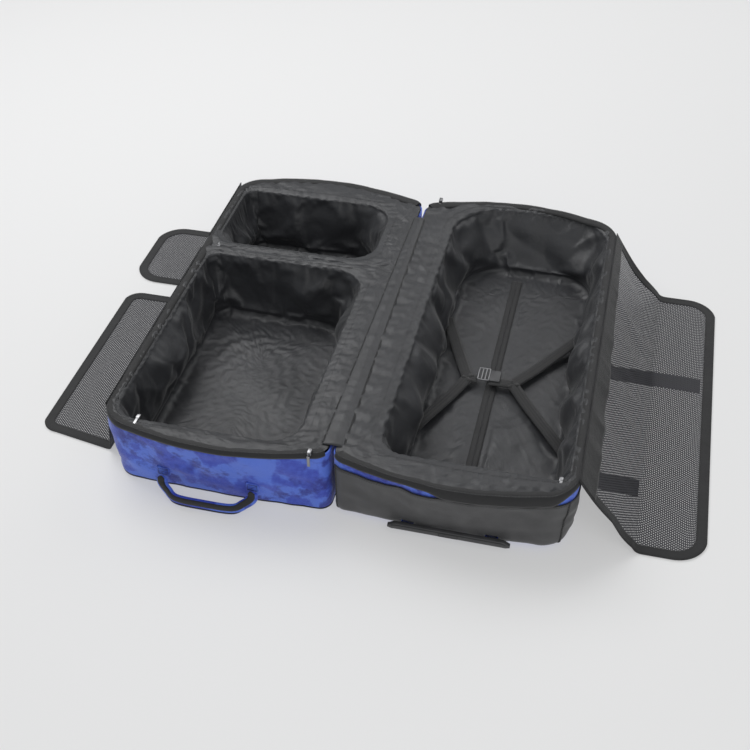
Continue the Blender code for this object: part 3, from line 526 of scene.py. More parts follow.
def waves(points: Points, length: float, seed: int, count: int = 22) -> Points:
    """Smooth noise made of plane waves.

    Args:
        points: where to read it, one row each.
        length: the usual distance from crest to crest.
        seed: picks the waves.
        count: how many waves are added.

    Returns:
        A number of about -1 to 1 for each point.
    """
    draw = np.random.default_rng(seed)
    total = np.zeros(len(points))
    for _ in range(count):
        direction = draw.normal(size=3)
        direction *= 2 * math.pi / (length * draw.uniform(0.6, 1.8) * np.linalg.norm(direction))
        total += np.sin(points @ direction + draw.uniform(0, 2 * math.pi))
    return total / math.sqrt(count)


def ease(share: "Points | float") -> "Points | float":
    """A share from 0 to 1 with a soft start and end."""
    share = np.clip(share, 0.0, 1.0)
    return share * share * (3 - 2 * share)


def smooth_path(points: Sequence, count: int) -> Points:
    """Points spread evenly along a soft curve through a few given ones.

    Args:
        points: the points to pass through, of any dimension.
        count: how many to return.

    Returns:
        The curve's points, one row each.
    """
    given = np.asarray(points, float)
    padded = np.vstack([2 * given[0] - given[1], given, 2 * given[-1] - given[-2]])
    dense = []
    for a, b, c, d in zip(padded, padded[1:], padded[2:], padded[3:]):
        for t in np.linspace(0, 1, 16, endpoint=False):
            curve = 2 * b + (c - a) * t + (2 * a - 5 * b + 4 * c - d) * t**2
            dense.append(0.5 * (curve + (3 * b - a - 3 * c + d) * t**3))
    dense.append(given[-1])
    return spread(np.array(dense), count)


def run_along(path: Points) -> Points:
    """How far along its path each point is."""
    return np.concatenate([[0], np.cumsum(np.linalg.norm(np.diff(path, axis=0), axis=1))])


def length_of(path: Points) -> float:
    """A path's length."""
    return float(np.linalg.norm(np.diff(path, axis=0), axis=1).sum())


def spread(path: Points, count: int) -> Points:
    """A path's points moved to even distances along it.

    Args:
        path: the path's points, one row each.
        count: how many to return.

    Returns:
        The new points.
    """
    run = run_along(path)
    even = np.linspace(0, run[-1], count)
    return np.column_stack([np.interp(even, run, column) for column in path.T])


@dataclass(frozen=True)
class Outline:
    """A rounded rectangle whose near and far edges bow outwards, drawn anticlockwise."""

    x0: float
    x1: float
    y0: float
    y1: float
    radii: tuple[float, float, float, float]
    bow_near: float = 0.0
    bow_far: float = 0.0

    def shrunk(self, inset: float) -> "Outline":
        """The same outline, drawn in by an inset.

        Args:
            inset: how far each edge moves in.

        Returns:
            The smaller outline.
        """
        radii = tuple(max(radius - inset, 0.0015) for radius in self.radii)
        x0, x1, y0, y1 = self.x0 + inset, self.x1 - inset, self.y0 + inset, self.y1 - inset
        return Outline(x0, x1, y0, y1, radii, self.bow_near, self.bow_far)

    def toward(self, other: "Outline", share: float) -> "Outline":
        """An outline between this one and another.

        Args:
            other: the other outline.
            share: how far towards it, from 0 to 1.

        Returns:
            The outline between them.
        """
        mine = (self.x0, self.x1, self.y0, self.y1, self.bow_near, self.bow_far)
        theirs = (other.x0, other.x1, other.y0, other.y1, other.bow_near, other.bow_far)
        x0, x1, y0, y1, near, far = (a + (b - a) * share for a, b in zip(mine, theirs))
        radii = tuple(a + (b - a) * share for a, b in zip(self.radii, other.radii))
        return Outline(x0, x1, y0, y1, radii, near, far)

    def points(self, side: int, long: int = 64, short: int = 36, corner: int = 14) -> Points:
        """The outline's points, from the middle of its hinge edge.

        Args:
            side: 1 for the base's half, and -1 for the lid's.
            long: steps on the edges along the bag.
            short: steps on the near and far edges.
            corner: steps in a corner.

        Returns:
            One row of x and y for each point.
        """
        corners = (
            (self.x0, self.y0, 1, 1),
            (self.x1, self.y0, -1, 1),
            (self.x1, self.y1, -1, -1),
            (self.x0, self.y1, 1, -1),
        )
        runs = (long // 2, short, long, short)
        middle = (self.y0 + self.y1) / 2
        path = [np.array([[self.x0, middle]])]
        for number, ((x, y, in_x, in_y), radius, run) in enumerate(zip(corners, self.radii, runs)):
            angle = math.pi + (number + np.linspace(0, 1, corner + 1)) * math.pi / 2
            arc_x = x + in_x * radius + radius * np.cos(angle)
            arc_y = y + in_y * radius + radius * np.sin(angle)
            arc = np.column_stack([arc_x, arc_y])
            path.append(self.run(path[-1][-1], arc[0], run))
            path.append(arc[1:])
        path.append(self.run(path[-1][-1], path[0][0], long // 2)[:-1])
        flat = np.vstack(path)
        lift = np.sin(np.pi * np.clip((flat[:, 0] - self.x0) / (self.x1 - self.x0), 0, 1))
        share = np.abs(flat[:, 1] - middle) / (self.y1 - middle)
        near = flat[:, 1] < middle
        flat[:, 1] += np.where(near, -self.bow_near, self.bow_far) * lift * share
        flat[:, 0] *= side
        return flat

    @staticmethod
    def run(start: Points, end: Points, steps: int) -> Points:
        """Points from just after start to end."""
        share = np.linspace(0, 1, steps + 1)[1:, None]
        return start + (end - start) * share


def outward(points: Points, side: int) -> Points:
    """The horizontal direction out of a closed ring at each of its points.

    Args:
        points: the ring's points.
        side: 1 for the base, and -1 for the lid.

    Returns:
        A direction in X and Y for each point.
    """
    run = (np.roll(points, -1, axis=0) - np.roll(points, 1, axis=0))[:, :2]
    turned = np.column_stack([run[:, 1], -run[:, 0]]) * side
    return turned / np.linalg.norm(run, axis=1)[:, None]


def ring(outline: Outline, side: int, height: "float | Points") -> Points:
    """An outline's points at a height."""
    flat = outline.points(side)
    return np.column_stack([flat, np.broadcast_to(height, len(flat))])


@dataclass
class Workshop:
    """Turns points in the bag's plan into finished pieces in the frame's space."""

    origin: Vector
    materials: dict[Slot, bpy.types.Material] = field(default_factory=dict)

    def material(self, slot: Slot) -> bpy.types.Material:
        """The slot's material, which is built once.

        Args:
            slot: the slot.

        Returns:
            Its material.
        """
        if slot not in self.materials:
            self.materials[slot] = FINISHES[slot].paint()
        return self.materials[slot]

    def mesh(self, name: str, points: Points, faces: Sequence, uvs: Points | None = None) -> bpy.types.Object:
        """Makes a smooth mesh.

        Args:
            name: the piece's name.
            points: its points, in the bag's plan.
            faces: its faces, as rows of point numbers.
            uvs: a place in the cut plan for each point, in metres.

        Returns:
            The object, which isn't dressed yet.
        """
        data = bpy.data.meshes.new(name)
        placed = np.asarray(points) + np.array(self.origin)
        data.from_pydata(placed.tolist(), [], [list(face) for face in faces])
        if uvs is not None:
            layer = data.uv_layers.new(name="cut")
            corners = np.zeros(len(data.loops), int)
            data.loops.foreach_get("vertex_index", corners)
            layer.data.foreach_set("uv", np.asarray(uvs)[corners].astype(np.float32).ravel())
        data.polygons.foreach_set("use_smooth", [True] * len(data.polygons))
        piece = bpy.data.objects.new(name, data)
        bpy.context.scene.collection.objects.link(piece)
        return piece

    def grid(
        self,
        name: str,
        rows: Points,
        closed: bool = False,
        keep: Callable[[Points], Points] | None = None,
    ) -> bpy.types.Object:
        """Makes a surface through rows of points.

        Args:
            name: the piece's name.
            rows: the rows, each with the same number of points.
            closed: whether each row is a loop.
            keep: says which faces stay, from the middles of the faces in the bag's plan.

        Returns:
            The object, with its cut plan in metres as its UV map.
        """
        rows = np.asarray(rows, float)
        if closed:
            rows = np.concatenate([rows, rows[:, :1]], axis=1)
        high, wide = rows.shape[:2]
        index = np.arange(high * wide).reshape(high, wide)
        quads = np.stack([index[:-1, :-1], index[:-1, 1:], index[1:, 1:], index[1:, :-1]], axis=-1)
        quads = quads.reshape(-1, 4)
        points = rows.reshape(-1, 3)
        if keep is not None:
            quads = quads[keep(points[quads].mean(axis=1))]
        across = np.linalg.norm(np.diff(rows, axis=1), axis=2).mean(axis=0)
        along = np.linalg.norm(np.diff(rows, axis=0), axis=2).mean(axis=1)
        u = np.concatenate([[0], np.cumsum(across)])
        v = np.concatenate([[0], np.cumsum(along)])
        uvs = np.stack(np.meshgrid(u, v), axis=-1).reshape(-1, 2)
        piece = self.mesh(name, points, quads.tolist(), uvs)
        if closed:
            self.edit(piece, lambda shape: bmesh.ops.remove_doubles(shape, verts=shape.verts, dist=MERGE))
        return piece

    @staticmethod
    def edit(piece: bpy.types.Object, change: Callable[[bmesh.types.BMesh], object]) -> None:
        """Changes a mesh with a bmesh call.

        Args:
            piece: the piece.
            change: what is done to its bmesh.
        """
        shape = bmesh.new()
        shape.from_mesh(piece.data)
        change(shape)
        shape.to_mesh(piece.data)
        shape.free()

    def settled(self, piece: bpy.types.Object) -> bpy.types.Object:
        """Makes a piece's modifiers real.

        Args:
            piece: a mesh or curve object.

        Returns:
            A plain mesh object of the same name.
        """
        graph = bpy.context.evaluated_depsgraph_get()
        data = bpy.data.meshes.new_from_object(piece.evaluated_get(graph), depsgraph=graph)
        name, place = piece.name, piece.matrix_world.copy()
        bpy.data.objects.remove(piece)
        made = bpy.data.objects.new(name, data)
        data.transform(place)
        bpy.context.scene.collection.objects.link(made)
        return made

    def thicken(self, piece: bpy.types.Object, wall: float, offset: float = 0.0) -> bpy.types.Object:
        """Gives a surface a wall.

        Args:
            piece: the surface.
            wall: the wall's thickness.
            offset: the side that the wall grows to, from -1 to 1.

        Returns:
            The piece with its wall.
        """
        thick = piece.modifiers.new("wall", "SOLIDIFY")
        thick.thickness = wall
        thick.offset = offset
        made = self.settled(piece)
        self.edit(made, lambda shape: bmesh.ops.recalc_face_normals(shape, faces=shape.faces))
        return made

    def cut(self, piece: bpy.types.Object, holes: Sequence[tuple[Sequence, Sequence]]) -> bpy.types.Object:
        """Cuts boxes out of a closed piece.

        Args:
            piece: the piece.
            holes: each box's two corners, in the bag's plan.

        Returns:
            The piece with its holes.
        """
        for number, (low, high) in enumerate(holes):
            cutter = self.box(f"cutter_{number}", low, high)
            hole = piece.modifiers.new("hole", "BOOLEAN")
            hole.operation = "DIFFERENCE"
            hole.solver = "EXACT"
            hole.object = cutter
            piece = self.settled(piece)
            bpy.data.objects.remove(cutter)
        return piece

    def soften(self, piece: bpy.types.Object, width: float, segments: int = 3) -> bpy.types.Object:
        """Rounds a hard-edged piece.

        Args:
            piece: the piece.
            width: the rounding's width.
            segments: the rounding's steps.

        Returns:
            The rounded piece.
        """
        edge = piece.modifiers.new("edge", "BEVEL")
        edge.width = width
        edge.segments = segments
        edge.limit_method = "ANGLE"
        edge.angle_limit = math.radians(35)
        edge.harden_normals = False
        return self.settled(piece)

    def box(self, name: str, low: Sequence, high: Sequence, bevel: float = 0.0) -> bpy.types.Object:
        """A box between two corners of the bag's plan, with rounded edges.

        Args:
            name: the piece's name.
            low: its lower corner.
            high: its upper corner.
            bevel: how wide its edges are rounded.

        Returns:
            The box, which isn't dressed yet.
        """
        x0, y0, z0 = low
        x1, y1, z1 = high
        points = [(x, y, z) for z in (z0, z1) for y in (y0, y1) for x in (x0, x1)]
        faces = [(0, 2, 3, 1), (4, 5, 7, 6), (0, 1, 5, 4), (2, 6, 7, 3), (0, 4, 6, 2), (1, 3, 7, 5)]
        piece = self.mesh(name, np.array(points, float), faces)
        return self.soften(piece, bevel) if bevel else piece

    def strap(
        self,
        name: str,
        path: Points,
        across: "Points | Sequence",
        width: float,
        wall: float,
        steps: int,
    ) -> bpy.types.Object:
        """A flat strap along a path.

        Args:
            name: the piece's name.
            path: its middle line, in the bag's plan.
            across: the direction of its width, for the whole path or for each point.
            width: its width.
            wall: its thickness.
            steps: how many lines of points run along it.

        Returns:
            The strap, which isn't dressed yet.
        """
        sides = np.broadcast_to(np.asarray(across, float), path.shape)
        sides = sides / np.linalg.norm(sides, axis=1)[:, None]
        rows = [path + sides * (width / 2 * step) for step in np.linspace(-1, 1, steps)]
        return self.thicken(self.grid(name, np.array(rows)), wall)

    def close(self, piece: bpy.types.Object) -> None:
        """Closes a tube's ends and turns its faces outwards."""
        self.edit(piece, lambda shape: bmesh.ops.holes_fill(shape, edges=shape.edges, sides=0))
        self.edit(piece, lambda shape: bmesh.ops.recalc_face_normals(shape, faces=shape.faces))

    def rope(self, name: str, path: Points, radius: float, ends: bool = True) -> bpy.types.Object:
        """A round cord of cloth or wire along a path.

        Args:
            name: the piece's name.
            path: its middle line, in the bag's plan.
            radius: its radius.
            ends: whether its ends are closed.

        Returns:
            The cord, which isn't dressed yet.
        """
        curve = bpy.data.curves.new(name, "CURVE")
        curve.dimensions = "3D"
        curve.bevel_depth = radius
        curve.bevel_resolution = 3
        curve.use_fill_caps = ends
        spline = curve.splines.new("POLY")
        spline.points.add(len(path) - 1)
        placed = np.asarray(path) + np.array(self.origin)
        for point, (x, y, z) in zip(spline.points, placed):
            point.co = (x, y, z, 1.0)
        piece = bpy.data.objects.new(name, curve)
        bpy.context.scene.collection.objects.link(piece)
        made = self.settled(piece)
        made.data.polygons.foreach_set("use_smooth", [True] * len(made.data.polygons))
        return made

    def join(self, name: str, pieces: Sequence[bpy.types.Object]) -> bpy.types.Object:
        """Joins meshes into one piece.

        Args:
            name: the new piece's name.
            pieces: what it is made of.

        Returns:
            The joined piece.
        """
        shape = bmesh.new()
        for piece in pieces:
            shape.from_mesh(piece.data)
            bpy.data.objects.remove(piece)
        data = bpy.data.meshes.new(name)
        shape.to_mesh(data)
        shape.free()
        made = bpy.data.objects.new(name, data)
        bpy.context.scene.collection.objects.link(made)
        return made

    def dress(
        self,
        piece: bpy.types.Object,
        slot: Slot,
        body: "str | None",
        *replaced: str,
    ) -> bpy.types.Object:
        """Finishes a piece, parents it to the body that it rides on, and hides the CAD nodes that it stands
        for.

        Args:
            piece: the piece.
            slot: its finish.
            body: the body that it rides on, or none.
            replaced: CAD nodes that it stands for.

        Returns:
            The same piece.
        """
        piece.data.materials.clear()
        piece.data.materials.append(self.material(slot))
        if body:
            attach(piece, body)
        if replaced:
            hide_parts(*replaced)
        LOG.info("%s: %d faces", piece.name, len(piece.data.polygons))
        return piece


def crumple(
    piece: bpy.types.Object,
    loose: Points,
    growth: float,
    inward: float,
    outward: float,
    frames: int = 22,
) -> None:
    """Lets a lining grow in its frame, so that it buckles as spare cloth does.

    Args:
        piece: the cloth, whose faces look into the bag.
        loose: how free each point is, from 0 to 1.
        growth: how much longer the cloth gets.
        inward: how far a point may move along its normal.
        outward: how far it may move against it.
        frames: how long the cloth has to settle.
    """
    data = piece.data
    start = np.zeros(len(data.vertices) * 3)
    data.vertices.foreach_get("co", start)
    start = start.reshape(-1, 3)
    normals = np.zeros(len(data.vertices) * 3)
    data.vertices.foreach_get("normal", normals)
    normals = normals.reshape(-1, 3)
    group = piece.vertex_groups.new(name="held")
    for number, share in enumerate(loose):
        group.add([number], float(1 - share), "REPLACE")
    cloth = piece.modifiers.new("cloth", "CLOTH")
    rules = cloth.settings
    rules.vertex_group_mass = group.name
    rules.pin_stiffness = 0.6
    rules.quality = 5
    rules.mass = 0.08
    rules.tension_stiffness = 14
    rules.compression_stiffness = 14
    rules.shear_stiffness = 6
    rules.bending_stiffness = 0.25
    rules.shrink_min = -growth
    rules.effector_weights.gravity = 0.15
    cloth.collision_settings.use_collision = False
    scene = bpy.context.scene
    cloth.point_cache.frame_start = 1
    cloth.point_cache.frame_end = frames
    for frame in range(1, frames + 1):
        scene.frame_set(frame)
    graph = bpy.context.evaluated_depsgraph_get()
    moved = np.zeros(len(data.vertices) * 3)
    piece.evaluated_get(graph).data.vertices.foreach_get("co", moved)
    shift = moved.reshape(-1, 3) - start
    piece.modifiers.remove(cloth)
    piece.vertex_groups.remove(group)
    scene.frame_set(1)
    depth = np.einsum("ij,ij->i", shift, normals)
    slide = shift - depth[:, None] * normals
    slide *= np.minimum(1, 0.006 / (np.linalg.norm(slide, axis=1) + 1e-9))[:, None]
    depth = np.where(depth > 0, inward * np.tanh(depth / inward), outward * np.tanh(depth / outward))
    data.vertices.foreach_set("co", (start + slide + depth[:, None] * normals).ravel())
    data.update()


# The bag's plan


@dataclass(frozen=True)
class Plan:
    """The bag's main lines, read from the frame: x from the hinge line, y from the near wall, z up."""

    origin: Vector
    half_width: float
    length: float
    rim: float
    rim_top: float
    tape_top: float
    seam: float = 0.003
    collar: float = 0.004
    wall_lean: float = 0.008
    bow_near: tuple[float, float] = (0.004, 0.034)  # at the foot and at the rim
    bow_far: tuple[float, float] = (0.006, 0.040)
    radii: tuple[float, float, float, float] = (0.020, 0.045, 0.045, 0.020)
    divider_y: float = 0.5175
    wall_sag: float = 0.0028

    @classmethod
    def read(cls) -> "Plan":
        """Reads the lines from the CAD nodes' boxes.

        Returns:
            The plan.
        """
        base_low, base_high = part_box("base_shell")
        lid_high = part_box("lid_shell")[1]
        flange_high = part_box("base_rim_flange")[1]
        axle_low, axle_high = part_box("axle_left")
        rail_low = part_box("skid_rail_left")[0]
        hinge = (base_low.x + lid_high.x) / 2
        near = rail_low.y - 0.050
        return cls(
            origin=Vector((hinge, near, 0.0)),
            half_width=flange_high.x - hinge,
            length=(axle_low.y + axle_high.y) / 2 - near,
            rim=base_high.z,
            rim_top=flange_high.z,
            tape_top=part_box("base_zipper_tape")[1].z,
        )

    def box(self, node: str) -> tuple[Vector, Vector]:
        """A CAD node's corners in the bag's plan."""
        low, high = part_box(node)
        return low - self.origin, high - self.origin

    def share(self, z: float) -> float:
        """How much of its lean and bow a wall has at a height."""
        return min(max(z / (self.rim - self.collar), 0.0), 1.0)

    def outline(self, z: float, inset: float = 0.0) -> Outline:
        """A shell's outer face at a height.

        Args:
            z: the height.
            inset: how far it is drawn in.

        Returns:
            The outline.
        """
        share = self.share(z)
        near, far = (bow[0] + (bow[1] - bow[0]) * share for bow in (self.bow_near, self.bow_far))
        outer = self.half_width - self.wall_lean * (1 - share)
        whole = Outline(self.seam, outer, 0.0, self.length, self.radii, near, far)
        return whole.shrunk(inset)

    def wall(self, side: int, z: float, floor: float, inset: float = 0.0, proud: float = 0.0) -> Points:
        """A ring on a shell's soft outer face.

        Args:
            side: 1 for the base, and -1 for the lid.
            z: the ring's height.
            floor: the height of the shell's own floor.
            inset: how far the ring is drawn in.
            proud: how far it stands off the cloth.

        Returns:
            The ring's points.
        """
        points = ring(self.outline(z, inset), side, z)
        rise = np.clip((z - floor) / (self.rim - floor), 0, 1)
        held = math.sin(math.pi * rise) ** 0.6 if 0 < rise < 1 else 0.0
        folds = waves(points * (1.0, 1.0, 0.55), 0.085, 11) + 0.5 * waves(points, 0.032, 12)
        hinge = ease((np.abs(points[:, 0]) - 0.006) / 0.03)
        swell = self.wall_sag * held * folds * hinge
        points[:, :2] += outward(points, side) * (swell + proud)[:, None]
        return points


@dataclass
class Assembly:
    """A sub-assembly: the workshop that makes its pieces, and the plan that they follow."""

    shop: Workshop
    plan: Plan

    def build(self) -> None:
        """Makes and dresses every piece."""
        raise NotImplementedError

    def stitches(
        self,
        name: str,
        path: Points,
        body: str,
        up: tuple[float, float, float] = (0.0, 0.0, 1.0),
        pitch: float = 0.0042,
        size: tuple[float, float, float] = (0.0030, 0.0007, 0.0006),
        slot: Slot = Slot.WEBBING,
        replaced: Sequence[str] = (),
    ) -> bpy.types.Object:
        """A row of repeated small pieces along a path, such as stitches or zip teeth.

        Args:
            name: the piece's name.
            path: the path, in the bag's plan.
            body: the body that it rides on.
            up: the direction that each one's own up axis takes.
            pitch: from one to the next.
            size: the size of each one.
            slot: its finish.
            replaced: CAD nodes that it stands for.

        Returns:
            The dressed piece.
        """
        curve = bpy.data.curves.new(name, "CURVE")
        curve.dimensions = "3D"
        spline = curve.splines.new("POLY")
        spline.points.add(len(path) - 1)
        for point, (x, y, z) in zip(spline.points, np.asarray(path) + np.array(self.plan.origin)):
            point.co = (x, y, z, 1.0)
        piece = bpy.data.objects.new(name, curve)
        bpy.context.scene.collection.objects.link(piece)
        modifier = piece.modifiers.new("row", "NODES")
        tree, sockets = row_tree(name, self.shop.material(slot))
        modifier.node_group = tree
        modifier[sockets["Pitch"]] = pitch
        modifier[sockets["Size"]] = size
        modifier[sockets["Up"]] = up
        made = self.shop.settled(piece)
        return self.shop.dress(made, slot, body, *replaced)


def row_tree(name: str, material: bpy.types.Material) -> tuple[bpy.types.NodeTree, dict[str, str]]:
    """A Geometry Nodes tree that repeats a small rounded piece along a curve.

    Args:
        name: the tree's name.
        material: what the pieces are made of.

    Returns:
        The tree, and the identifier of each named input.
    """
    tree = bpy.data.node_groups.new(name + "_row", "GeometryNodeTree")
    face = tree.interface

    def add(kind: str, settings: dict | None = None, sockets: dict | None = None) -> bpy.types.Node:
        """Adds a node.

        Args:
            kind: the node's type.
            settings: its properties.
            sockets: values or links for its inputs.

        Returns:
            The node.
        """
        node = tree.nodes.new(kind)
        for key, value in (settings or {}).items():
            setattr(node, key, value)
        for key, value in (sockets or {}).items():
            if isinstance(value, bpy.types.NodeSocket):
                tree.links.new(value, node.inputs[key])
            else:
                node.inputs[key].default_value = value
        return node

    face.new_socket("Path", in_out="INPUT", socket_type="NodeSocketGeometry")
    kinds = {"Pitch": "NodeSocketFloat", "Size": "NodeSocketVector", "Up": "NodeSocketVector"}
    sockets = {}
    for key, kind in kinds.items():
        sockets[key] = face.new_socket(key, in_out="INPUT", socket_type=kind).identifier
    face.new_socket("Row", in_out="OUTPUT", socket_type="NodeSocketGeometry")
    given = add("NodeGroupInput").outputs
    even = {"Curve": given["Path"], "Length": given["Pitch"]}
    points = add("GeometryNodeResampleCurve", {"mode": "LENGTH"}, even).outputs["Curve"]
    bead = add("GeometryNodeMeshUVSphere", {}, {"Segments": 6, "Rings": 4, "Radius": 0.5}).outputs["Mesh"]
    shaped = add("GeometryNodeTransform", {}, {"Geometry": bead, "Scale": given["Size"]}).outputs["Geometry"]
    tangent = add("GeometryNodeInputTangent").outputs["Tangent"]
    turn = "FunctionNodeAlignRotationToVector"
    along = add(turn, {"axis": "X"}, {"Vector": tangent}).outputs["Rotation"]
    upright = add(turn, {"axis": "Z", "pivot_axis": "X"}, {"Rotation": along, "Vector": given["Up"]})
    row = {"Points": points, "Instance": shaped, "Rotation": upright.outputs["Rotation"]}
    placed = add("GeometryNodeInstanceOnPoints", {}, row).outputs["Instances"]
    real = add("GeometryNodeRealizeInstances", {}, {"Geometry": placed}).outputs["Geometry"]
    coated = add("GeometryNodeSetMaterial", {}, {"Geometry": real, "Material": material})
    add("NodeGroupOutput", {}, {"Row": coated.outputs["Geometry"]})
    return tree, sockets


@dataclass
class Shells(Assembly):
    """The printed outer trays, the coated kick panel and the piping on them."""

    foot: float = 0.014
    wall: float = 0.0025
    panel_gap: float = 0.0012
    panel_drop: float = 0.017  # from the rim to the panel's top edge
    rows: int = 18
    piping: float = 0.0016
    slot_play: float = 0.0012
    slot_reach: tuple[float, float] = (-0.060, 0.012)  # from outside the near wall to inside it
    piping_rise: float = 0.55  # as a share of the foot
    well_play: float = 0.001
    panel_start: float = 0.008
    panel_stop: float = 0.075  # from the far end
    panel_foot: float = 0.0115
    panel_wall: float = 0.0012
    top_piping: float = 0.0012

    def build(self) -> None:
        """Makes both trays, the panel and the piping."""
        base_floor = self.plan.box("base_shell")[0].z
        floors = {"base": base_floor, "lid": 0.0}
        for half, side in HALVES:
            self.tray(half, side, floors[half])
        self.kick_panel(base_floor)
        for half, side in HALVES:
            self.edge_piping(half, side, floors[half])

    def foot_inset(self, rise: float) -> float:
        """How far the rounded foot is drawn in at a height over its floor.

        Args:
            rise: the height over the floor.

        Returns:
            The inset.
        """
        if rise >= self.foot:
            return 0.0
        return self.foot - math.sqrt(self.foot**2 - (self.foot - rise) ** 2)

    def tray(self, half: str, side: int, floor: float) -> None:
        """One half's outer tray.

        Args:
            half: the half, which is also its body.
            side: 1 for the base, and -1 for the lid.
            floor: the height of its floor.
        """
        plan = self.plan
        rises = [self.foot * (1 - math.cos(angle)) for angle in np.linspace(0.15, math.pi / 2, 7)]
        heights = [floor + rise for rise in rises]
        heights += list(np.linspace(floor + self.foot, plan.rim, self.rows)[1:])
        rows = []
        for drawn in np.linspace(0.16, self.foot + 0.004, 7):
            rows.append(ring(plan.outline(floor, drawn), side, floor + 0.0004))
        for z in heights:
            rows.append(plan.wall(side, z, floor, self.foot_inset(z - floor)))
        rows = np.array(rows)
        keep = self.outside_wells if side > 0 else None
        piece = self.shop.grid(f"{half}_tray", rows, closed=True, keep=keep)
        self.shop.edit(
            piece,
            lambda shape: bmesh.ops.holes_fill(shape, edges=self.rim_of(shape, rows[0]), sides=0),
        )
        piece = self.shop.thicken(piece, self.wall, -float(side))
        if side > 0:
            piece = self.shop.cut(piece, self.tube_slots())
        self.shop.dress(piece, Slot.SHELL, half, f"{half}_shell")

    def rim_of(self, shape: bmesh.types.BMesh, ring_points: Points) -> list[bmesh.types.BMEdge]:
        """The open edges at the middle of a tray's floor.

        Args:
            shape: the tray.
            ring_points: the floor's innermost ring.

        Returns:
            The ring's edges.
        """
        placed = (ring_points + np.array(self.plan.origin))[:, :2]
        low, high = placed.min(axis=0) - 1e-4, placed.max(axis=0) + 1e-4
        top = ring_points[0][2] + 0.002

        def inside(vertex: bmesh.types.BMVert) -> bool:
            """Whether a vertex lies on the ring."""
            x, y, z = vertex.co
            return low[0] <= x <= high[0] and low[1] <= y <= high[1] and z < top

        return [edge for edge in shape.edges if edge.is_boundary and all(inside(v) for v in edge.verts)]

    def outside_wells(self, middles: Points) -> Points:
        """Says which faces are clear of the wheel housings.

        Args:
            middles: the middles of the faces.

        Returns:
            Whether each one stays.
        """
        clear = np.ones(len(middles), bool)
        for hand in HANDS:
            low, high = self.plan.box(f"wheel_housing_{hand}")
            play = self.well_play
            inside = (middles[:, 0] > low.x - play) & (middles[:, 0] < high.x + play)
            inside &= (middles[:, 1] > low.y - play) & (middles[:, 2] < high.z + play)
            clear &= ~inside
        return clear

    def tube_slots(self) -> list[tuple[Vector, Vector]]:
        """The two passages in the near wall that the trolley's tubes run through.

        Returns:
            Each passage's two corners.
        """
        slots = []
        for hand in HANDS:
            low, high = self.plan.box(f"mid_tube_{hand}")
            slack = Vector((self.slot_play, 0.0, self.slot_play))
            reach_low, reach_high = low - slack, high + slack
            reach_low.y, reach_high.y = self.slot_reach
            slots.append((reach_low, reach_high))
        return slots

    def span(self, start: float, end: float) -> slice:
        """Part of the base's ring: from the near wall, round the corner, to the outer wall.

        Args:
            start: where it starts on the near wall, in X.
            end: where it ends on the outer wall, in Y.

        Returns:
            The ring's points in that part.
        """
        flat = self.plan.outline(self.plan.rim).points(1)
        near = (flat[:, 1] < 0.012) & (flat[:, 0] >= start)
        outer = (flat[:, 0] > self.plan.half_width * 0.9) & (flat[:, 1] < end)
        inside = np.where(near | outer)[0]
        return slice(inside.min(), inside.max() + 1)

    def kick_panel(self, floor: float) -> None:
        """The coated panel over the base's near wall, with piping up its two edges.

        Args:
            floor: the height of the base's floor.
        """
        plan = self.plan
        span = self.span(self.panel_start, plan.length - self.panel_stop)
        top = plan.rim - self.panel_drop
        rows = []
        for z in np.linspace(self.panel_foot, top, self.rows):
            inset = self.foot_inset(max(z - floor, 0.0))
            rows.append(plan.wall(1, z, floor, inset, self.panel_gap)[span])
        rows = np.array(rows)
        piece = self.shop.thicken(self.shop.grid("kick_panel_cloth", rows), self.panel_wall, 1.0)
        piece = self.shop.cut(piece, self.tube_slots())
        self.shop.dress(piece, Slot.PANEL, "base", "kick_panel")
        ends = []
        corner = int(np.argmax(rows[-1][:, 0] > plan.box("kick_panel")[1].x))
        for number in (1, corner):
            path = smooth_path(rows[:, number] + (0.0008 * (number > 1), -0.0014, 0), 30)
            ends.append(self.shop.rope(f"panel_end_{number}", path, self.piping))
        path = smooth_path(rows[-1][: corner + 1] + (0, -self.top_piping, 0), 90)
        ends.append(self.shop.rope("panel_top", path, self.top_piping))
        piping = self.shop.join("kick_panel_piping", ends)
        self.shop.dress(piping, Slot.WEBBING, "base")
        seam = rows[-1][:corner] + (0, -0.0022, -0.004)
        self.stitches("kick_panel_stitches", seam, "base", up=(0, -1, 0.2))

    def edge_piping(self, half: str, side: int, floor: float) -> None:
        """Piping in the seam round a tray's foot.

        Args:
            half: the half, which is also its body.
            side: 1 for the base, and -1 for the lid.
            floor: the height of the tray's floor.
        """
        name = f"{half}_foot_piping"
        z = floor + self.foot * self.piping_rise
        path = self.plan.wall(side, z, floor, self.foot_inset(z - floor), 0.0002)
        path = np.vstack([path, path[:1]])
        if side > 0:
            keep = self.outside_wells(path)
            start = int(np.argmin(keep))
            path, keep = np.roll(path[:-1], -start, axis=0), np.roll(keep[:-1], -start)
            groups = np.split(path, np.where(np.diff(keep.astype(int)) != 0)[0] + 1)
            flags = [keep[0]] + [bool(k) for k in keep[1:][np.diff(keep.astype(int)) != 0]]
            runs = [group for group, flag in zip(groups, flags) if flag and len(group) > 3]
        else:
            runs = [path]
        ropes = [self.shop.rope(f"{name}_{number}", run, self.piping) for number, run in enumerate(runs)]
        piece = self.shop.join(name, ropes)
        if side > 0:
            piece = self.shop.cut(piece, self.tube_slots())
        self.shop.dress(piece, Slot.WEBBING, half)


@dataclass
class Room:
    """One compartment: its rim border, its opening and its floor."""

    name: str
    side: int
    body: str
    border: Outline
    opening: Outline
    floor: Outline
    floor_z: float
    replaced: tuple[str, ...]


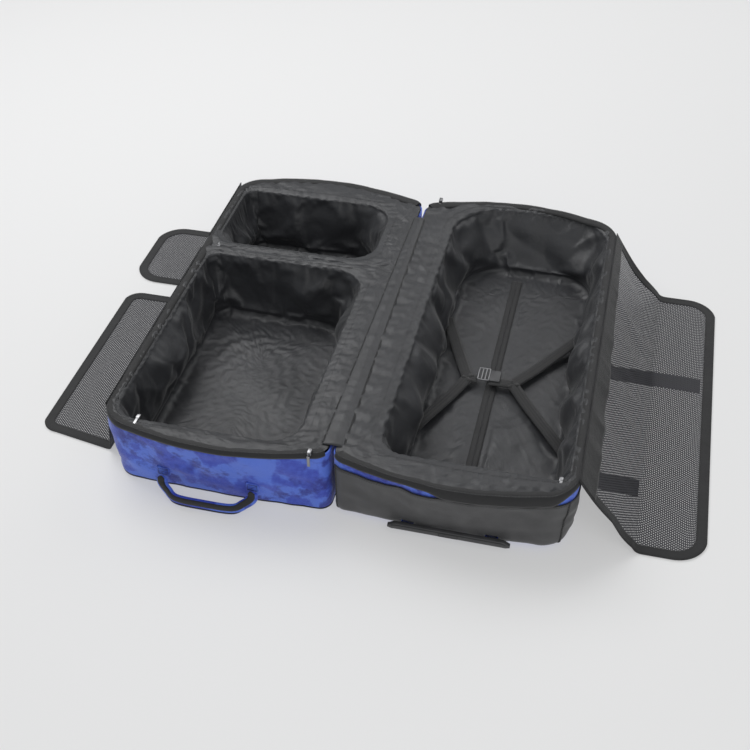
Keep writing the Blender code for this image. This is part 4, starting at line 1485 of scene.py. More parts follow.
@dataclass
class Linings(Assembly):
    """The satin linings and the strip over the hinge."""

    roll: float = 0.006
    foot: float = 0.018
    puff: float = 0.0030
    growth: float = 0.07
    fold: float = 0.017  # how far a wall's folds stand in
    floor_fold: float = 0.0075
    border_top: float = 0.1421  # what a folded flap lies on
    border_ease: float = 0.0022
    flat_wall: float = 0.11  # of spare cloth on every side of the border, once cut flat
    strip_over: float = 0.004  # how far the hinge strip runs past the CAD gusset
    strip_half: float = 0.018  # half its width at the near end
    strip_taper: float = 0.008
    strip_rise: float = 0.0022
    strip_wall: float = 0.0008
    strip_flat: float = 0.036
    strip_mean: float = 0.0265
    surfaces: dict[str, object] = field(default_factory=dict)

    def rooms(self) -> list[Room]:
        """The three compartments.

        Returns:
            The base's, then the lid's large and small one.
        """
        plan = self.plan
        width, far = plan.half_width, plan.length
        base_low, _ = plan.box("base_lining")
        lid_low, _ = plan.box("lid_main_lining")
        radii = (0.045, 0.030, 0.060, 0.085)
        rim = Outline(0.068, width - 0.014, 0.028, far + 0.003, radii, 0.0, 0.020)
        floor = Outline(0.102, width - 0.036, 0.042, 0.706, radii, 0.0, 0.003)
        whole = plan.outline(plan.rim, 0.003)
        nodes = ("base_lining", "base_rim_flange")
        rooms = [Room("base", 1, "base", whole, rim, floor, base_low.z, nodes)]
        radii = (0.060, 0.045, 0.030, 0.060)
        cut = plan.divider_y
        spans = (
            ("lid_main", 0.008, cut - 0.0175, 0.0, cut, (0.020, 0.045, 0.0015, 0.0015), (0.034, 0.0)),
            ("lid_small", cut + 0.0175, far - 0.025, cut, far, (0.0015, 0.0015, 0.045, 0.020), (0.0, 0.040)),
        )
        for name, near, far_y, first, last, corners, bows in spans:
            inset_near = 0.003 if first == 0.0 else 0.0
            inset_far = 0.003 if last == plan.length else 0.0
            edges = (plan.seam + 0.003, width - 0.003, first + inset_near, last - inset_far)
            border = Outline(*edges, corners, *bows)
            opening = Outline(0.058, width - 0.014, near, far_y, radii)
            low = Outline(0.092, width - 0.036, near + 0.014, far_y - 0.030, radii)
            other = "lid_divider" if name == "lid_main" else "lid_rim_flange"
            nodes = (f"{name}_lining", other)
            rooms.append(Room(name, -1, "lid", border, opening, low, lid_low.z, nodes))
        return rooms

    def build(self) -> None:
        """Makes the linings, then what lies on them."""
        for room in self.rooms():
            self.lining(room)
        self.hinge_strip()

    def rows(self, room: Room) -> tuple[Points, Points]:
        """A lining's rows of points, from its border to the middle of its floor.

        Args:
            room: the compartment.

        Returns:
            The rows, and how free each row's points are to crumple.
        """
        top = self.plan.rim_top + 0.0008
        rows, free = [], []
        for share in np.linspace(0, 1, 12)[:-1]:
            points = ring(room.border.toward(room.opening, share), room.side, top)
            soft = math.sin(math.pi * share)
            points[:, 2] += self.puff * soft
            pucker = waves(points * (0.25, 1.0, 0.0), 0.020, 31) * 0.0009
            points[:, 2] += soft * (pucker + 0.0010 * waves(points, 0.060, 32))
            rows.append(points)
            free.append(0.35 * soft)
        for angle in np.linspace(0, math.pi / 2, 5):
            outline = room.opening.shrunk(self.roll * math.sin(angle))
            rows.append(ring(outline, room.side, top - self.roll * (1 - math.cos(angle))))
            free.append(0.15)
        throat = room.opening.shrunk(self.roll)
        high, low = top - self.roll, room.floor_z + self.foot
        for share in np.linspace(0, 1, 16)[1:]:
            points = ring(throat.toward(room.floor, share), room.side, high + (low - high) * share)
            slack = self.slack(points * (1.0, 1.0, 0.7), 0.15, 34) + 0.40 * self.slack(points, 0.075, 35)
            held = math.sin(math.pi * min(share, 0.96)) ** 0.7
            points[:, :2] -= outward(points, room.side) * (self.fold * held * slack)[:, None]
            rows.append(points)
            free.append(0.75 + 0.25 * math.sin(math.pi * share))
        for angle in np.linspace(0, math.pi / 2, 5)[1:]:
            outline = room.floor.shrunk(self.foot * (1 - math.cos(angle)))
            rows.append(ring(outline, room.side, low - self.foot * math.sin(angle)))
            free.append(0.7)
        width = (room.floor.x1 - room.floor.x0) / 2 - 0.006
        for share in np.linspace(0, 1, 14)[1:]:
            outline = room.floor.shrunk(self.foot + (width - self.foot) * share)
            points = ring(outline, room.side, room.floor_z)
            points[:, 2] += self.floor_fold * self.slack(points, 0.16, 36) * math.sin(math.pi * share / 2)
            rows.append(points)
            free.append(0.45 - 0.2 * share)
        seam = rows[-1].copy()
        seam[:, 0] = room.side * (room.floor.x0 + room.floor.x1) / 2
        rows = np.array([*rows, seam])
        return rows, np.repeat([*free, free[-1]], rows.shape[1])

    @staticmethod
    def slack(points: Points, length: float, seed: int) -> Points:
        """How far spare cloth stands off at each point: 0 where it lies flat, and 1 on a fold's crest."""
        return np.clip(0.35 + 0.65 * waves(points, length, seed), 0.0, 1.4)

    def lining(self, room: Room) -> None:
        """One compartment's lining, crumpled as spare cloth.

        Args:
            room: the compartment.
        """
        rows, free = self.rows(room)
        piece = self.shop.grid(f"{room.name}_lining_cloth", rows, closed=True)
        if room.side < 0:
            self.shop.edit(piece, lambda shape: bmesh.ops.reverse_faces(shape, faces=shape.faces))
        free = self.per_vertex(piece, rows, free)
        crumple(piece, free, self.growth, 0.011, 0.004)
        self.press(piece, room)
        smooth = piece.modifiers.new("smooth", "SUBSURF")
        smooth.levels = smooth.render_levels = 1
        piece = self.shop.settled(piece)
        self.surfaces[room.name] = piece
        self.shop.dress(piece, Slot.LINING, room.body, *room.replaced)
        flat_width = (room.border.x1 - room.border.x0) + 2 * self.flat_wall
        flat_length = (room.border.y1 - room.border.y0) + 2 * self.flat_wall
        height = self.plan.rim_top + 0.0016
        seam = ring(room.border.toward(room.opening, 0.80), room.side, height)
        seam = self.laid(np.vstack([seam, seam[:1]]), room.name, 0.0003)
        self.stitches(f"{room.name}_border_stitches", seam, room.body)

    def press(self, piece: bpy.types.Object, room: Room) -> None:
        """Keeps a lining above what lies under it, and holds the base's flat under its zip.

        Args:
            piece: the lining.
            room: its compartment.
        """
        low, high = self.plan.box("lining_zipper")
        middle, flat = (low.x + high.x) / 2, low.z - 0.0009
        for vertex in piece.data.vertices:
            x, y, z = vertex.co - self.plan.origin
            if room.side > 0 and z < low.z + 0.02 and low.y - 0.02 < y < high.y + 0.02:
                z = min(z, flat + 0.02 * float(ease((abs(x - middle) - 0.012) / 0.03)))
            if z > self.border_top - self.border_ease:
                over = (z - self.border_top + self.border_ease) / self.border_ease
                z = self.border_top - self.border_ease + self.border_ease * math.tanh(over)
            vertex.co.z = max(z, room.floor_z + 0.0003)

    def per_vertex(self, piece: bpy.types.Object, rows: Points, free: Points) -> Points:
        """How free each vertex is, after the rows' ends were merged.

        Args:
            piece: the lining.
            rows: its rows of points.
            free: how free each of those points is.

        Returns:
            How free each vertex is.
        """
        placed = rows.reshape(-1, 3) + np.array(self.plan.origin)
        known = {tuple(np.round(point, 5)): share for point, share in zip(placed, free)}
        found = [known.get(tuple(np.round(v.co, 5)), 0.5) for v in piece.data.vertices]
        return np.array(found)

    def laid(self, path: Points, surface: str, lift: float) -> Points:
        """A path dropped onto a lining.

        Args:
            path: the path, in the bag's plan.
            surface: the lining's room.
            lift: how far above the cloth it lies.

        Returns:
            The path, on the cloth.
        """
        graph = bpy.context.evaluated_depsgraph_get()
        piece = self.surfaces[surface].evaluated_get(graph)
        origin = self.plan.origin
        found = []
        for x, y, z in path:
            start = Vector((x, y, 0.40)) + origin
            hit, place, *_ = piece.ray_cast(start, Vector((0, 0, -1)))
            found.append((x, y, (place - origin).z + lift if hit else z))
        return np.array(found)

    def hinge_strip(self) -> None:
        """The cloth strip over the hinge, which rides on neither half."""
        low, high = self.plan.box("hinge_gusset")
        rows = []
        for across in np.linspace(-1, 1, 15):
            y = np.linspace(low.y - self.strip_over, high.y + self.strip_over, 110)
            share = (y - y[0]) / (y[-1] - y[0])
            half = self.strip_half - self.strip_taper * share
            height = np.full(len(y), self.plan.rim_top + self.strip_rise)
            points = np.column_stack([across * half, y, height])
            fold = waves(points * (0.15, 1.0, 0.0), 0.022, 51) * 0.0008
            points[:, 2] += (1 - across * across) * (0.0016 + fold) + 0.0010 * (1 - abs(across))
            rows.append(points)
        piece = self.shop.thicken(self.shop.grid("hinge_strip", np.array(rows)), self.strip_wall)
        self.shop.dress(piece, Slot.LINING, None, "hinge_gusset")
        start, end = (self.plan.origin + Vector((x, 0.3, self.plan.rim_top)) for x in (-0.006, 0.006))
        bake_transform(piece)
        for name, side in reversed(HALVES):
            edge = rows[0 if side < 0 else -1] + (0.0016 * -side, 0, 0.0006)
            self.stitches(f"hinge_{name}_stitches", edge[2:-2], name)
            line = edge[1:-1] + (0.0024 * side, 0, -0.0006)
            self.shop.dress(self.shop.rope(f"hinge_{name}_seam", line, 0.0011), Slot.WEBBING, name)


@dataclass
class RimZips(Assembly):
    """The zip tape over each rim, and its teeth."""

    profile: tuple[tuple[float, float], ...] = (
        (-0.0010, -0.0090),
        (-0.0014, -0.0055),
        (-0.0006, -0.0018),
        (0.0020, 0.0004),
        (0.0060, 0.0002),
        (0.0105, -0.0014),
        (0.0150, -0.0034),
    )
    sunk: float = 0.0015  # below the CAD tape's top, so that a folded flap clears the teeth
    uneven: float = 0.0006
    sag: float = 0.011  # the most that the base's band droops
    tape: float = 0.0010
    tooth: tuple[float, float, float] = (0.0011, 0.0034, 0.0011)
    pitch: float = 0.0022
    proud: float = 0.0006  # the teeth over the tape

    def build(self) -> None:
        """Makes both bands with their teeth."""
        for half, side in HALVES:
            self.band(half, side)

    def droop(self, points: Points) -> Points:
        """How far the base's band sags over the near wall at each point.

        Args:
            points: the band's points.

        Returns:
            A share from 0 to 1 for each point.
        """
        near = ease((0.02 - points[:, 1]) / 0.03)
        along = ease((points[:, 0] - 0.13) / 0.06) * (1 - ease((points[:, 0] - 0.36) / 0.04))
        gap = 1 - 0.75 * np.exp(-(((points[:, 0] - 0.165) / 0.020) ** 2))
        return near * along * gap

    def band(self, half: str, side: int) -> None:
        """One rim's band.

        Args:
            half: the half, which is also its body.
            side: 1 for the base, and -1 for the lid.
        """
        plan = self.plan
        top = plan.tape_top - self.sunk
        rows = []
        for inset, drop in self.profile:
            points = ring(plan.outline(plan.rim, inset), side, top + drop)
            points[:, 2] += self.uneven * waves(points, 0.05, 61)
            if side > 0:
                sag = self.droop(points) * max(0.0, (0.008 - inset) / 0.009)
                points[:, 2] -= self.sag * sag * min(1.0, abs(drop) / 0.006 + 0.15)
                points[:, 1] -= 0.0016 * sag
            rows.append(points)
        rows = np.array(rows)
        start, end = self.ends(rows[3])
        rows = np.roll(rows, -start, axis=1)[:, : end - start]
        piece = self.shop.thicken(self.shop.grid(f"{half}_rim_band", rows), self.tape)
        self.shop.dress(piece, Slot.BINDING, half, f"{half}_zipper_tape")
        teeth = {"pitch": self.pitch, "size": self.tooth, "slot": Slot.PLASTIC}
        self.stitches(f"{half}_rim_teeth", rows[3] + (0, 0, self.proud), half, **teeth)

    def ends(self, middle: Points) -> tuple[int, int]:
        """The first and last point of the band, clear of the hinge."""
        clear = np.where(np.abs(middle[:, 0]) > 0.010)[0]
        return int(clear.min()), int(clear.max()) + 1


@dataclass(frozen=True)
class FlapPlan:
    """One mesh flap: where it folds and how it hangs to the floor."""

    name: str
    side: int
    hinge: float
    near: float
    far: float
    sag: tuple[tuple[float, float], ...]
    band_near: float
    band_far: float
    skew: float = 0.0  # how much farther in the near edge ends than it starts
    corner: float = 0.055


@dataclass
class Flaps(Assembly):
    """The netting flaps with their bindings, hanging out over the rims."""

    binding: float = 0.018
    lie: float = 0.0028  # the netting's height over the floor
    fold_in: float = 0.0005  # from the rim's outer face to the fold
    top: float = 0.1435  # the fold's height
    long: int = 90
    short: int = 120
    ripples: tuple[float, float] = (0.0055, 0.0013)  # the height of the long and the short ones

    def foot(self, name: str, side: int) -> float:
        """How far out a flap's hem meets the floor."""
        low, high = self.plan.box(f"{name}_hem")
        return high.x if side > 0 else -low.x

    def plans(self) -> list[FlapPlan]:
        """The three flaps.

        Returns:
            The base's, then the lid's long and small one.
        """
        fold = self.plan.half_width - self.fold_in
        base = self.hang("base_flap", 1) + ((0.560, 0.0028), (0.618, 0.0026))
        lid = self.hang("lid_flap", -1) + ((0.500, 0.0028), (0.573, 0.0026))
        small = lid[:-1] + ((0.588, 0.0026),)
        return [
            FlapPlan("base_flap", 1, fold, 0.030, 0.735, base, 0.050, 0.028),
            FlapPlan("lid_flap", -1, fold, 0.030, 0.500, lid, 0.024, 0.020, 0.045, 0.032),
            FlapPlan("small_flap", -1, fold, 0.545, 0.745, small, 0.020, 0.020),
        ]

    def hang(self, name: str, side: int) -> tuple[tuple[float, float], ...]:
        """A flap's line from its fold to the floor, along the CAD hem.

        Args:
            name: the flap's name.
            side: 1 for the base, and -1 for the lid.

        Returns:
            Its points, as rows of reach and height.
        """
        fold, foot = self.plan.half_width - self.fold_in, self.foot(name, side)
        drop = self.lie + 0.0006 - self.top
        line = [(fold + (foot - fold) * share, self.top + drop * share) for share in (0, 0.3, 0.6, 0.9)]
        return (*line, (foot + 0.006, self.lie + 0.0004))

    def build(self) -> None:
        """Makes each flap's netting, band and binding."""
        for flap in self.plans():
            self.flap(flap)

    def outline(self, flap: FlapPlan, reach: float) -> Points:
        """A flap's free edge, flat: run out from the fold, and place along it.

        Args:
            flap: the flap.
            reach: the flap's length from fold to edge.

        Returns:
            Rows of run and y, from the near end of the fold to the far end.
        """
        r, ry = flap.corner, min(flap.corner, (flap.far - flap.near) / 3)
        turn = np.linspace(0, math.pi / 2, 12)
        near_y = flap.near + flap.skew
        near = np.column_stack([reach - r + r * np.sin(turn), near_y + ry - ry * np.cos(turn)])
        far = np.column_stack([reach - r + r * np.cos(turn), flap.far - ry + ry * np.sin(turn)])
        start, end = np.array([[0.0, flap.near]]), np.array([[0.0, flap.far]])
        whole = np.vstack([start, near, far, end])
        return spread(whole, 260)

    def place(self, flap: FlapPlan, run: Points, y: Points, lift: float = 0.0) -> Points:
        """Lays flat points over the flap's sag.

        Args:
            flap: the flap.
            run: how far out from the fold each point is, along the cloth.
            y: its place along the fold.
            lift: how far over the cloth it lies.

        Returns:
            The points, in the bag's plan.
        """
        line = smooth_path(flap.sag, 200)
        length = run_along(line)
        x, z = np.interp(run, length, line[:, 0]), np.interp(run, length, line[:, 1])
        slope = np.gradient(line, axis=0)
        slope /= np.linalg.norm(slope, axis=1)[:, None]
        nx, nz = -np.interp(run, length, slope[:, 1]), np.interp(run, length, slope[:, 0])
        points = np.column_stack([x, y, z])
        share = np.clip(run / length[-1], 0, 1)
        free = np.sin(math.pi * np.clip(share * 1.02, 0, 1)) ** 0.8
        flat = np.column_stack([run * 0.45, y, np.zeros_like(y)])
        high, low = self.ripples
        ripple = waves(flat, 0.13, 71 + flap.side) * high + waves(flat, 0.05, 72 + flap.side) * low
        aloft = np.clip((z - 0.012) / 0.03, 0.10, 1)
        ripple = -np.abs(ripple) * free * aloft  # away from the bag's inside once it is folded
        points[:, 0] += nx * (ripple + lift)
        points[:, 2] = np.maximum(z + nz * (ripple + lift), 0.0026 + lift)
        points[:, 0] *= flap.side
        return points

    def flap(self, flap: FlapPlan) -> None:
        """Makes one flap.

        Args:
            flap: its plan.
        """
        reach = length_of(smooth_path(flap.sag, 200))
        edge = self.outline(flap, reach)
        inner = self.inset(edge, flap, reach)
        net = self.netting(flap, inner)
        flap.far - flap.near
        self.edging(flap, edge, inner)
        self.top_band(flap)

    def inset(self, edge: Points, flap: FlapPlan, reach: float) -> Points:
        """The line along the inside of the binding.

        Args:
            edge: the flap's free edge, flat.
            flap: the flap.
            reach: its length from fold to edge.

        Returns:
            The line, flat.
        """
        middle = np.array([reach * 0.5, (flap.near + flap.far) / 2])
        ahead, behind = np.roll(edge, -1, axis=0), np.roll(edge, 1, axis=0)
        ahead[-1], behind[0] = edge[-1], edge[0]
        run = ahead - behind
        normal = np.column_stack([-run[:, 1], run[:, 0]]) / np.linalg.norm(run, axis=1)[:, None]
        flip = np.sign(np.einsum("ij,ij->i", middle - edge, normal))
        inner = edge + normal * flip[:, None] * self.binding
        inner[:, 0] = np.maximum(inner[:, 0], 0.0)
        inner[0], inner[-1] = edge[0] + (0, self.binding), edge[-1] - (0, self.binding)
        return inner

    def netting(self, flap: FlapPlan, edge: Points) -> bpy.types.Object:
        """The sheet that fills a flap's outline between its near and far edges.

        Args:
            flap: the flap.
            edge: the netting's edge, flat.

        Returns:
            The dressed sheet.
        """
        half = len(edge) // 2
        near, far = spread(edge[:half], self.long), spread(edge[half:][::-1], self.long)
        rows = []
        for share in np.linspace(0, 1, self.short):
            flat = near + (far - near) * share
            rows.append(self.place(flap, flat[:, 0], flat[:, 1]))
        piece = self.shop.grid(f"{flap.name}_netting", np.array(rows))
        nodes = (f"{flap.name}_mesh_inner", f"{flap.name}_mesh_outer")
        self.shop.dress(piece, Slot.MESH, None, *nodes)
        self.bend(piece, flap)
        return piece

    def edging(self, flap: FlapPlan, edge: Points, inner: Points) -> None:
        """The doubled binding round a flap's free edges, with its stitches.

        Args:
            flap: the flap.
            edge: the binding's outer edge, flat.
            inner: its inner edge.
        """
        rows = []
        for share in np.linspace(-0.06, 1.0, 8):
            flat = edge + (inner - edge) * share
            rows.append(self.place(flap, np.maximum(flat[:, 0], 0.0), flat[:, 1], -0.0002))
        piece = self.shop.thicken(self.shop.grid(f"{flap.name}_edging", np.array(rows)), 0.0014)
        self.shop.dress(piece, Slot.BINDING, None, f"{flap.name}_hem", f"{flap.name}_binding")
        self.bend(piece, flap)
        for label, share in (("outer", 0.16), ("inner", 0.88)):
            flat = edge + (inner - edge) * share
            path = self.place(flap, flat[:, 0], flat[:, 1], 0.0006)
            self.bend(self.stitches(f"{flap.name}_{label}_stitches", path, ""), flap)

    def top_band(self, flap: FlapPlan) -> None:
        """The solid band between the rim and the netting.

        Args:
            flap: the flap.
        """
        rows = []
        y = np.linspace(flap.near + 0.002, flap.far - 0.002, 150)
        share = (y - y[0]) / (y[-1] - y[0])
        depth = flap.band_near + (flap.band_far - flap.band_near) * ease(share)
        for part in np.linspace(0, 1, 12):
            rows.append(self.place(flap, depth * part, y, 0.0002))
        piece = self.shop.thicken(self.shop.grid(f"{flap.name}_top_band", np.array(rows)), 0.0012)
        self.shop.dress(piece, Slot.BINDING, None)
        self.bend(piece, flap)

    def bend(self, piece: bpy.types.Object, flap: FlapPlan) -> None:
        """Bakes a piece's placement into its points.

        Args:
            piece: the piece.
            flap: its flap.
        """
        origin = self.plan.origin
        foot = self.foot(flap.name, flap.side)
        middle = (flap.near + flap.far) / 2
        start = origin + Vector((flap.side * (foot - 0.006), middle, 0.009))
        end = origin + Vector((flap.side * (foot + 0.006), middle, 0.003))
        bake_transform(piece)


@dataclass
class Straps(Assembly):
    """The crossed packing straps, their buckle, and the long side straps."""

    webbing: float = 0.022
    wall: float = 0.0016
    stems: tuple[float, float] = (0.018, 0.045)  # the left strap's single part, and the right's
    leg_inset: float = 0.012
    level: float = 0.02  # a strap lower than this ends at its middle height
    plate: float = 0.0026
    side_width: float = 0.040
    side_wall: float = 0.0014
    side_flat: float = 0.042

    def build(self) -> None:
        """Makes every strap."""
        self.cross_straps()
        self.side_straps()

    def cross_straps(self) -> None:
        """The two V-shaped straps, which a ladder buckle draws together."""
        plan = self.plan
        plug_low, plug_high = plan.box("cross_buckle_plug")
        socket_low, socket_high = plan.box("cross_buckle_socket")
        z = (plug_low.z + plug_high.z) / 2
        for hand, stem in zip(HANDS, self.stems):
            low, high = plan.box(f"cross_strap_{hand}")
            inner, outer = (high.x, low.x) if hand == "left" else (low.x, high.x)
            split = inner - stem if hand == "left" else inner + stem
            middle = (low.y + high.y) / 2
            end_z = (low.z + high.z) / 2 if high.z - low.z < self.level else high.z - 0.010
            path = smooth_path([(inner, middle, z), (split, middle, z + 0.001)], 12)
            pieces = [self.webbed(f"cross_{hand}_stem", path, (0, 1, 0))]
            for sign in (1, -1):
                end_y = high.y - self.leg_inset if sign > 0 else low.y + self.leg_inset
                way, far = np.array([split, middle]), np.array([outer, end_y])
                third = way + (far - way) / 3
                path = [(*way, z + 0.001), (*third, z - 0.001), (*(way + (far - way) * 0.75), z + 0.004)]
                leg = smooth_path([*path, (*far, end_z)], 40)
                side = np.cross(np.gradient(leg, axis=0), (0, 0, 1.0))
                pieces.append(self.webbed(f"cross_{hand}_leg_{sign}", leg, side))
            piece = self.shop.join(f"cross_{hand}_webbing", pieces)
            self.shop.dress(piece, Slot.WEBBING, "base", f"cross_strap_{hand}")
        self.buckle(plug_low, plug_high, socket_low, socket_high)

    def webbed(self, name: str, path: Points, across: Points | Sequence) -> bpy.types.Object:
        """A length of the packing straps' webbing."""
        return self.shop.strap(name, path, across, self.webbing, self.wall, 5)

    def buckle(self, plug_low: Vector, plug_high: Vector, low: Vector, high: Vector) -> None:
        """The ladder buckle: a plated frame with bars, and a plug.

        Args:
            plug_low: the plug's lower corner.
            plug_high: its upper corner.
            low: the socket's lower corner.
            high: its upper corner.
        """
        top = max(high.z, plug_high.z)
        x0, x1, y0, y1 = low.x, high.x, low.y, high.y
        corners = [(x0, y0), (x1, y0), (x1, y1), (x0, y1), (x0, y0)]
        sides = [np.linspace((*a, top), (*b, top), 10)[:-1] for a, b in zip(corners, corners[1:])]
        path = np.vstack([*sides, sides[0][:1]])
        bars = [self.shop.rope("buckle_frame", path, self.plate / 2, ends=False)]
        for share in (0.35, 0.68):
            x = x0 + (x1 - x0) * share
            path = np.linspace((x, y0, top), (x, y1, top), 8)
            bars.append(self.shop.rope(f"buckle_bar_{share}", path, self.plate / 2))
        piece = self.shop.join("ladder_buckle", bars)
        self.shop.dress(piece, Slot.STEEL, "base", "cross_buckle_socket")
        body = self.shop.box("buckle_plug_body", tuple(plug_low), tuple(plug_high), 0.0014)
        self.shop.dress(body, Slot.PLASTIC, "cross_buckle_plug", "cross_buckle_plug")

    def side_straps(self) -> None:
        """The two long straps that hang out over the base's far rim."""
        for name in ("near", "far"):
            low, high = self.plan.box(f"side_strap_{name}")
            y = (low.y + high.y) / 2
            edge = low.x
            points = [(edge + 0.0012, high.z), (edge + 0.010, high.z - 0.006), (edge + 0.017, high.z - 0.024)]
            points += [(edge + 0.024, 0.016), (edge + 0.036, 0.0040), (edge + 0.060, 0.0011)]
            points.append((high.x, 0.0011))
            line = smooth_path(points, 110)
            sway = 0.004 * np.sin(np.linspace(0, 2.6, len(line)))
            path = np.column_stack([line[:, 0], y + sway, line[:, 1]])
            title = f"side_strap_{name}_webbing"
            piece = self.shop.strap(title, path, (0, 1, 0), self.side_width, self.side_wall, 9)
            self.shop.dress(piece, Slot.WEBBING, "base", f"side_strap_{name}")


@dataclass
class GrabHandle(Assembly):
    """The padded handle on the lid's near wall, with its tabs."""

    pad_size: tuple[float, float] = (0.0098, 0.0052)  # half its width and half its depth
    strip_size: tuple[float, float] = (0.0062, 0.0020)
    strip_place: tuple[float, float, float] = (0, -0.0046, 0.0046)
    piping_place: tuple[float, float, float] = (0, -0.0036, -0.0074)
    piping: float = 0.0020
    corner_power: float = 0.7

    def build(self) -> None:
        """Makes the padded band, its strips and the tabs."""
        low, high = self.plan.box("lid_handle")
        half = (high.x - low.x) / 2 - 0.009
        heights = (high.z - 0.006, low.z + 0.009)
        path = self.loop((low.x + high.x) / 2, half, *heights, high.y - 0.006, low.y + 0.006)
        pad = self.pad("grab_handle_pad", path, *self.pad_size)
        self.shop.dress(pad, Slot.SHELL, "lid_handle", "lid_handle")
        strip = self.pad("grab_handle_strip", path + self.strip_place, *self.strip_size)
        self.shop.dress(strip, Slot.BINDING, "lid_handle")
        piping = self.shop.rope("grab_handle_piping", path + self.piping_place, self.piping)
        self.shop.dress(piping, Slot.BINDING, "lid_handle")
        for hand in HANDS:
            self.tab(hand)

    def loop(self, x: float, half: float, top: float, bottom: float, wall: float, out: float) -> Points:
        """The handle's middle line: down, along and up again.

        Args:
            x: the handle's middle.
            half: half its length.
            top: its ends' height.
            bottom: its lowest height.
            wall: its ends' place, in Y.
            out: how far out it stands, in Y.

        Returns:
            The line's points.
        """
        points = [(x - half, wall, top), (x - half, wall - 0.002, (top + bottom) / 2)]
        points += [(x - half * 0.86, (wall + out) / 2, bottom + 0.006), (x - half * 0.62, out, bottom)]
        mirrored = [(2 * x - px, py, pz) for px, py, pz in reversed(points)]
        return smooth_path(points + [(x, out - 0.001, bottom - 0.0015)] + mirrored, 120)

    def pad(self, name: str, path: Points, wide: float, deep: float) -> bpy.types.Object:
        """A padded band with a flat oval section.

        Args:
            name: the piece's name.
            path: its middle line.
            wide: half its width.
            deep: half its depth.

        Returns:
            The band, which isn't dressed yet.
        """
        tangent = np.gradient(path, axis=0)
        tangent /= np.linalg.norm(tangent, axis=1)[:, None]
        outward = np.array([0.0, -1.0, 0.0])
        side = np.cross(tangent, outward)
        side /= np.linalg.norm(side, axis=1)[:, None]
        depth = np.cross(side, tangent)
        rows = []
        ends = np.minimum(1.0, np.minimum(np.arange(len(path)), np.arange(len(path))[::-1]) / 4 + 0.35)
        for angle in np.linspace(0, 2 * math.pi, 21)[:-1]:
            across, out = math.cos(angle), math.sin(angle)
            shape = abs(across) ** self.corner_power * math.copysign(1, across)
            rise = depth * (deep * out * ends)[:, None]
            rows.append(path + side * (wide * shape * ends)[:, None] + rise)
        rows = np.transpose(np.array(rows), (1, 0, 2))
        piece = self.shop.grid(name, rows, closed=True)
        self.shop.close(piece)
        return piece

    def tab(self, hand: str) -> None:
        """A stitched tab that holds one end of the handle.

        Args:
            hand: left or right.
        """
        low, high = self.plan.box(f"handle_tab_{hand}")
        piece = self.shop.box(f"handle_tab_{hand}_cloth", tuple(low), tuple(high), 0.0012)
        self.shop.dress(piece, Slot.SHELL, "lid", f"handle_tab_{hand}")
        y = low.y - 0.0006
        x0, x1, z0, z1 = low.x + 0.003, high.x - 0.003, low.z + 0.003, high.z - 0.003
        box = [(x0, y, z0), (x1, y, z0), (x1, y, z1), (x0, y, z1), (x0, y, z0), (x1, y, z1)]
        self.stitches(f"handle_tab_{hand}_stitches", np.array(box), "lid", up=(0, -1, 0), pitch=0.0030)


@dataclass
class Trolley(Assembly):
    """The telescopic handle's grip and release button."""

    steps: int = 60
    end_gap: float = 0.0012
    end_drop: float = 0.0022  # how far the grip's top falls at each end
    frame_gap: float = 0.0016

    @staticmethod
    def boxed(part: Points) -> Points:
        """A circle's sine or cosine, pushed towards a rounded box."""
        return np.sign(part) * np.abs(part) ** 0.6

    def build(self) -> None:
        """Makes the grip with its parting line, and the framed button."""
        low, high = self.plan.box("trolley_grip")
        middle, half = (low + high) / 2, (high - low) / 2
        x = np.linspace(low.x + self.end_gap, high.x - self.end_gap, self.steps)
        share = np.abs(np.linspace(-1, 1, self.steps))
        drop = self.end_drop * ease((share - 0.86) / 0.14)
        turn = np.linspace(0, 2 * math.pi, 29)[:-1]
        rows = []
        for place, out, fall in zip(x, share, drop):
            taper = 1 - 0.30 * float(ease((out - 0.93) / 0.07))
            y = middle.y + half.y * taper * self.boxed(np.cos(turn))
            z = middle.z - fall + (half.z - fall) * taper * self.boxed(np.sin(turn))
            rows.append(np.column_stack([np.full(len(turn), place), y, z]))
        grip = self.shop.grid("trolley_grip_body", np.array(rows), closed=True)
        self.shop.close(grip)
        self.shop.dress(grip, Slot.PLASTIC, "trolley_inner", "trolley_grip")
        height = high.z - self.end_drop - 2 * drop
        line = np.column_stack([x, np.full(self.steps, low.y - 0.0001), height])
        seam = self.shop.rope("trolley_grip_line", line[2:-2], 0.0004)
        self.shop.dress(seam, Slot.TYRE, "trolley_inner")
        self.button(low.y)

    def button(self, front: float) -> None:
        """The release button, in its frame.

        Args:
            front: the place of the grip's near face, in Y.
        """
        low, high = self.plan.box("trolley_button")
        piece = self.shop.box("trolley_button_cap", tuple(low), tuple(high), 0.0012)
        self.shop.dress(piece, Slot.PLASTIC, "trolley_button", "trolley_button")
        gap = self.frame_gap
        x0, x1, z0, z1 = low.x - gap, high.x + gap, low.z - gap, high.z + gap
        corners = [(x0, z0), (x1, z0), (x1, z1), (x0, z1), (x0, z0)]
        ends = [(x, front, z) for x, z in corners]
        path = np.vstack([np.linspace(a, b, 8) for a, b in zip(ends, ends[1:])])
        frame = self.shop.rope("trolley_button_frame", path, 0.0005)
        self.shop.dress(frame, Slot.TYRE, "trolley_inner")


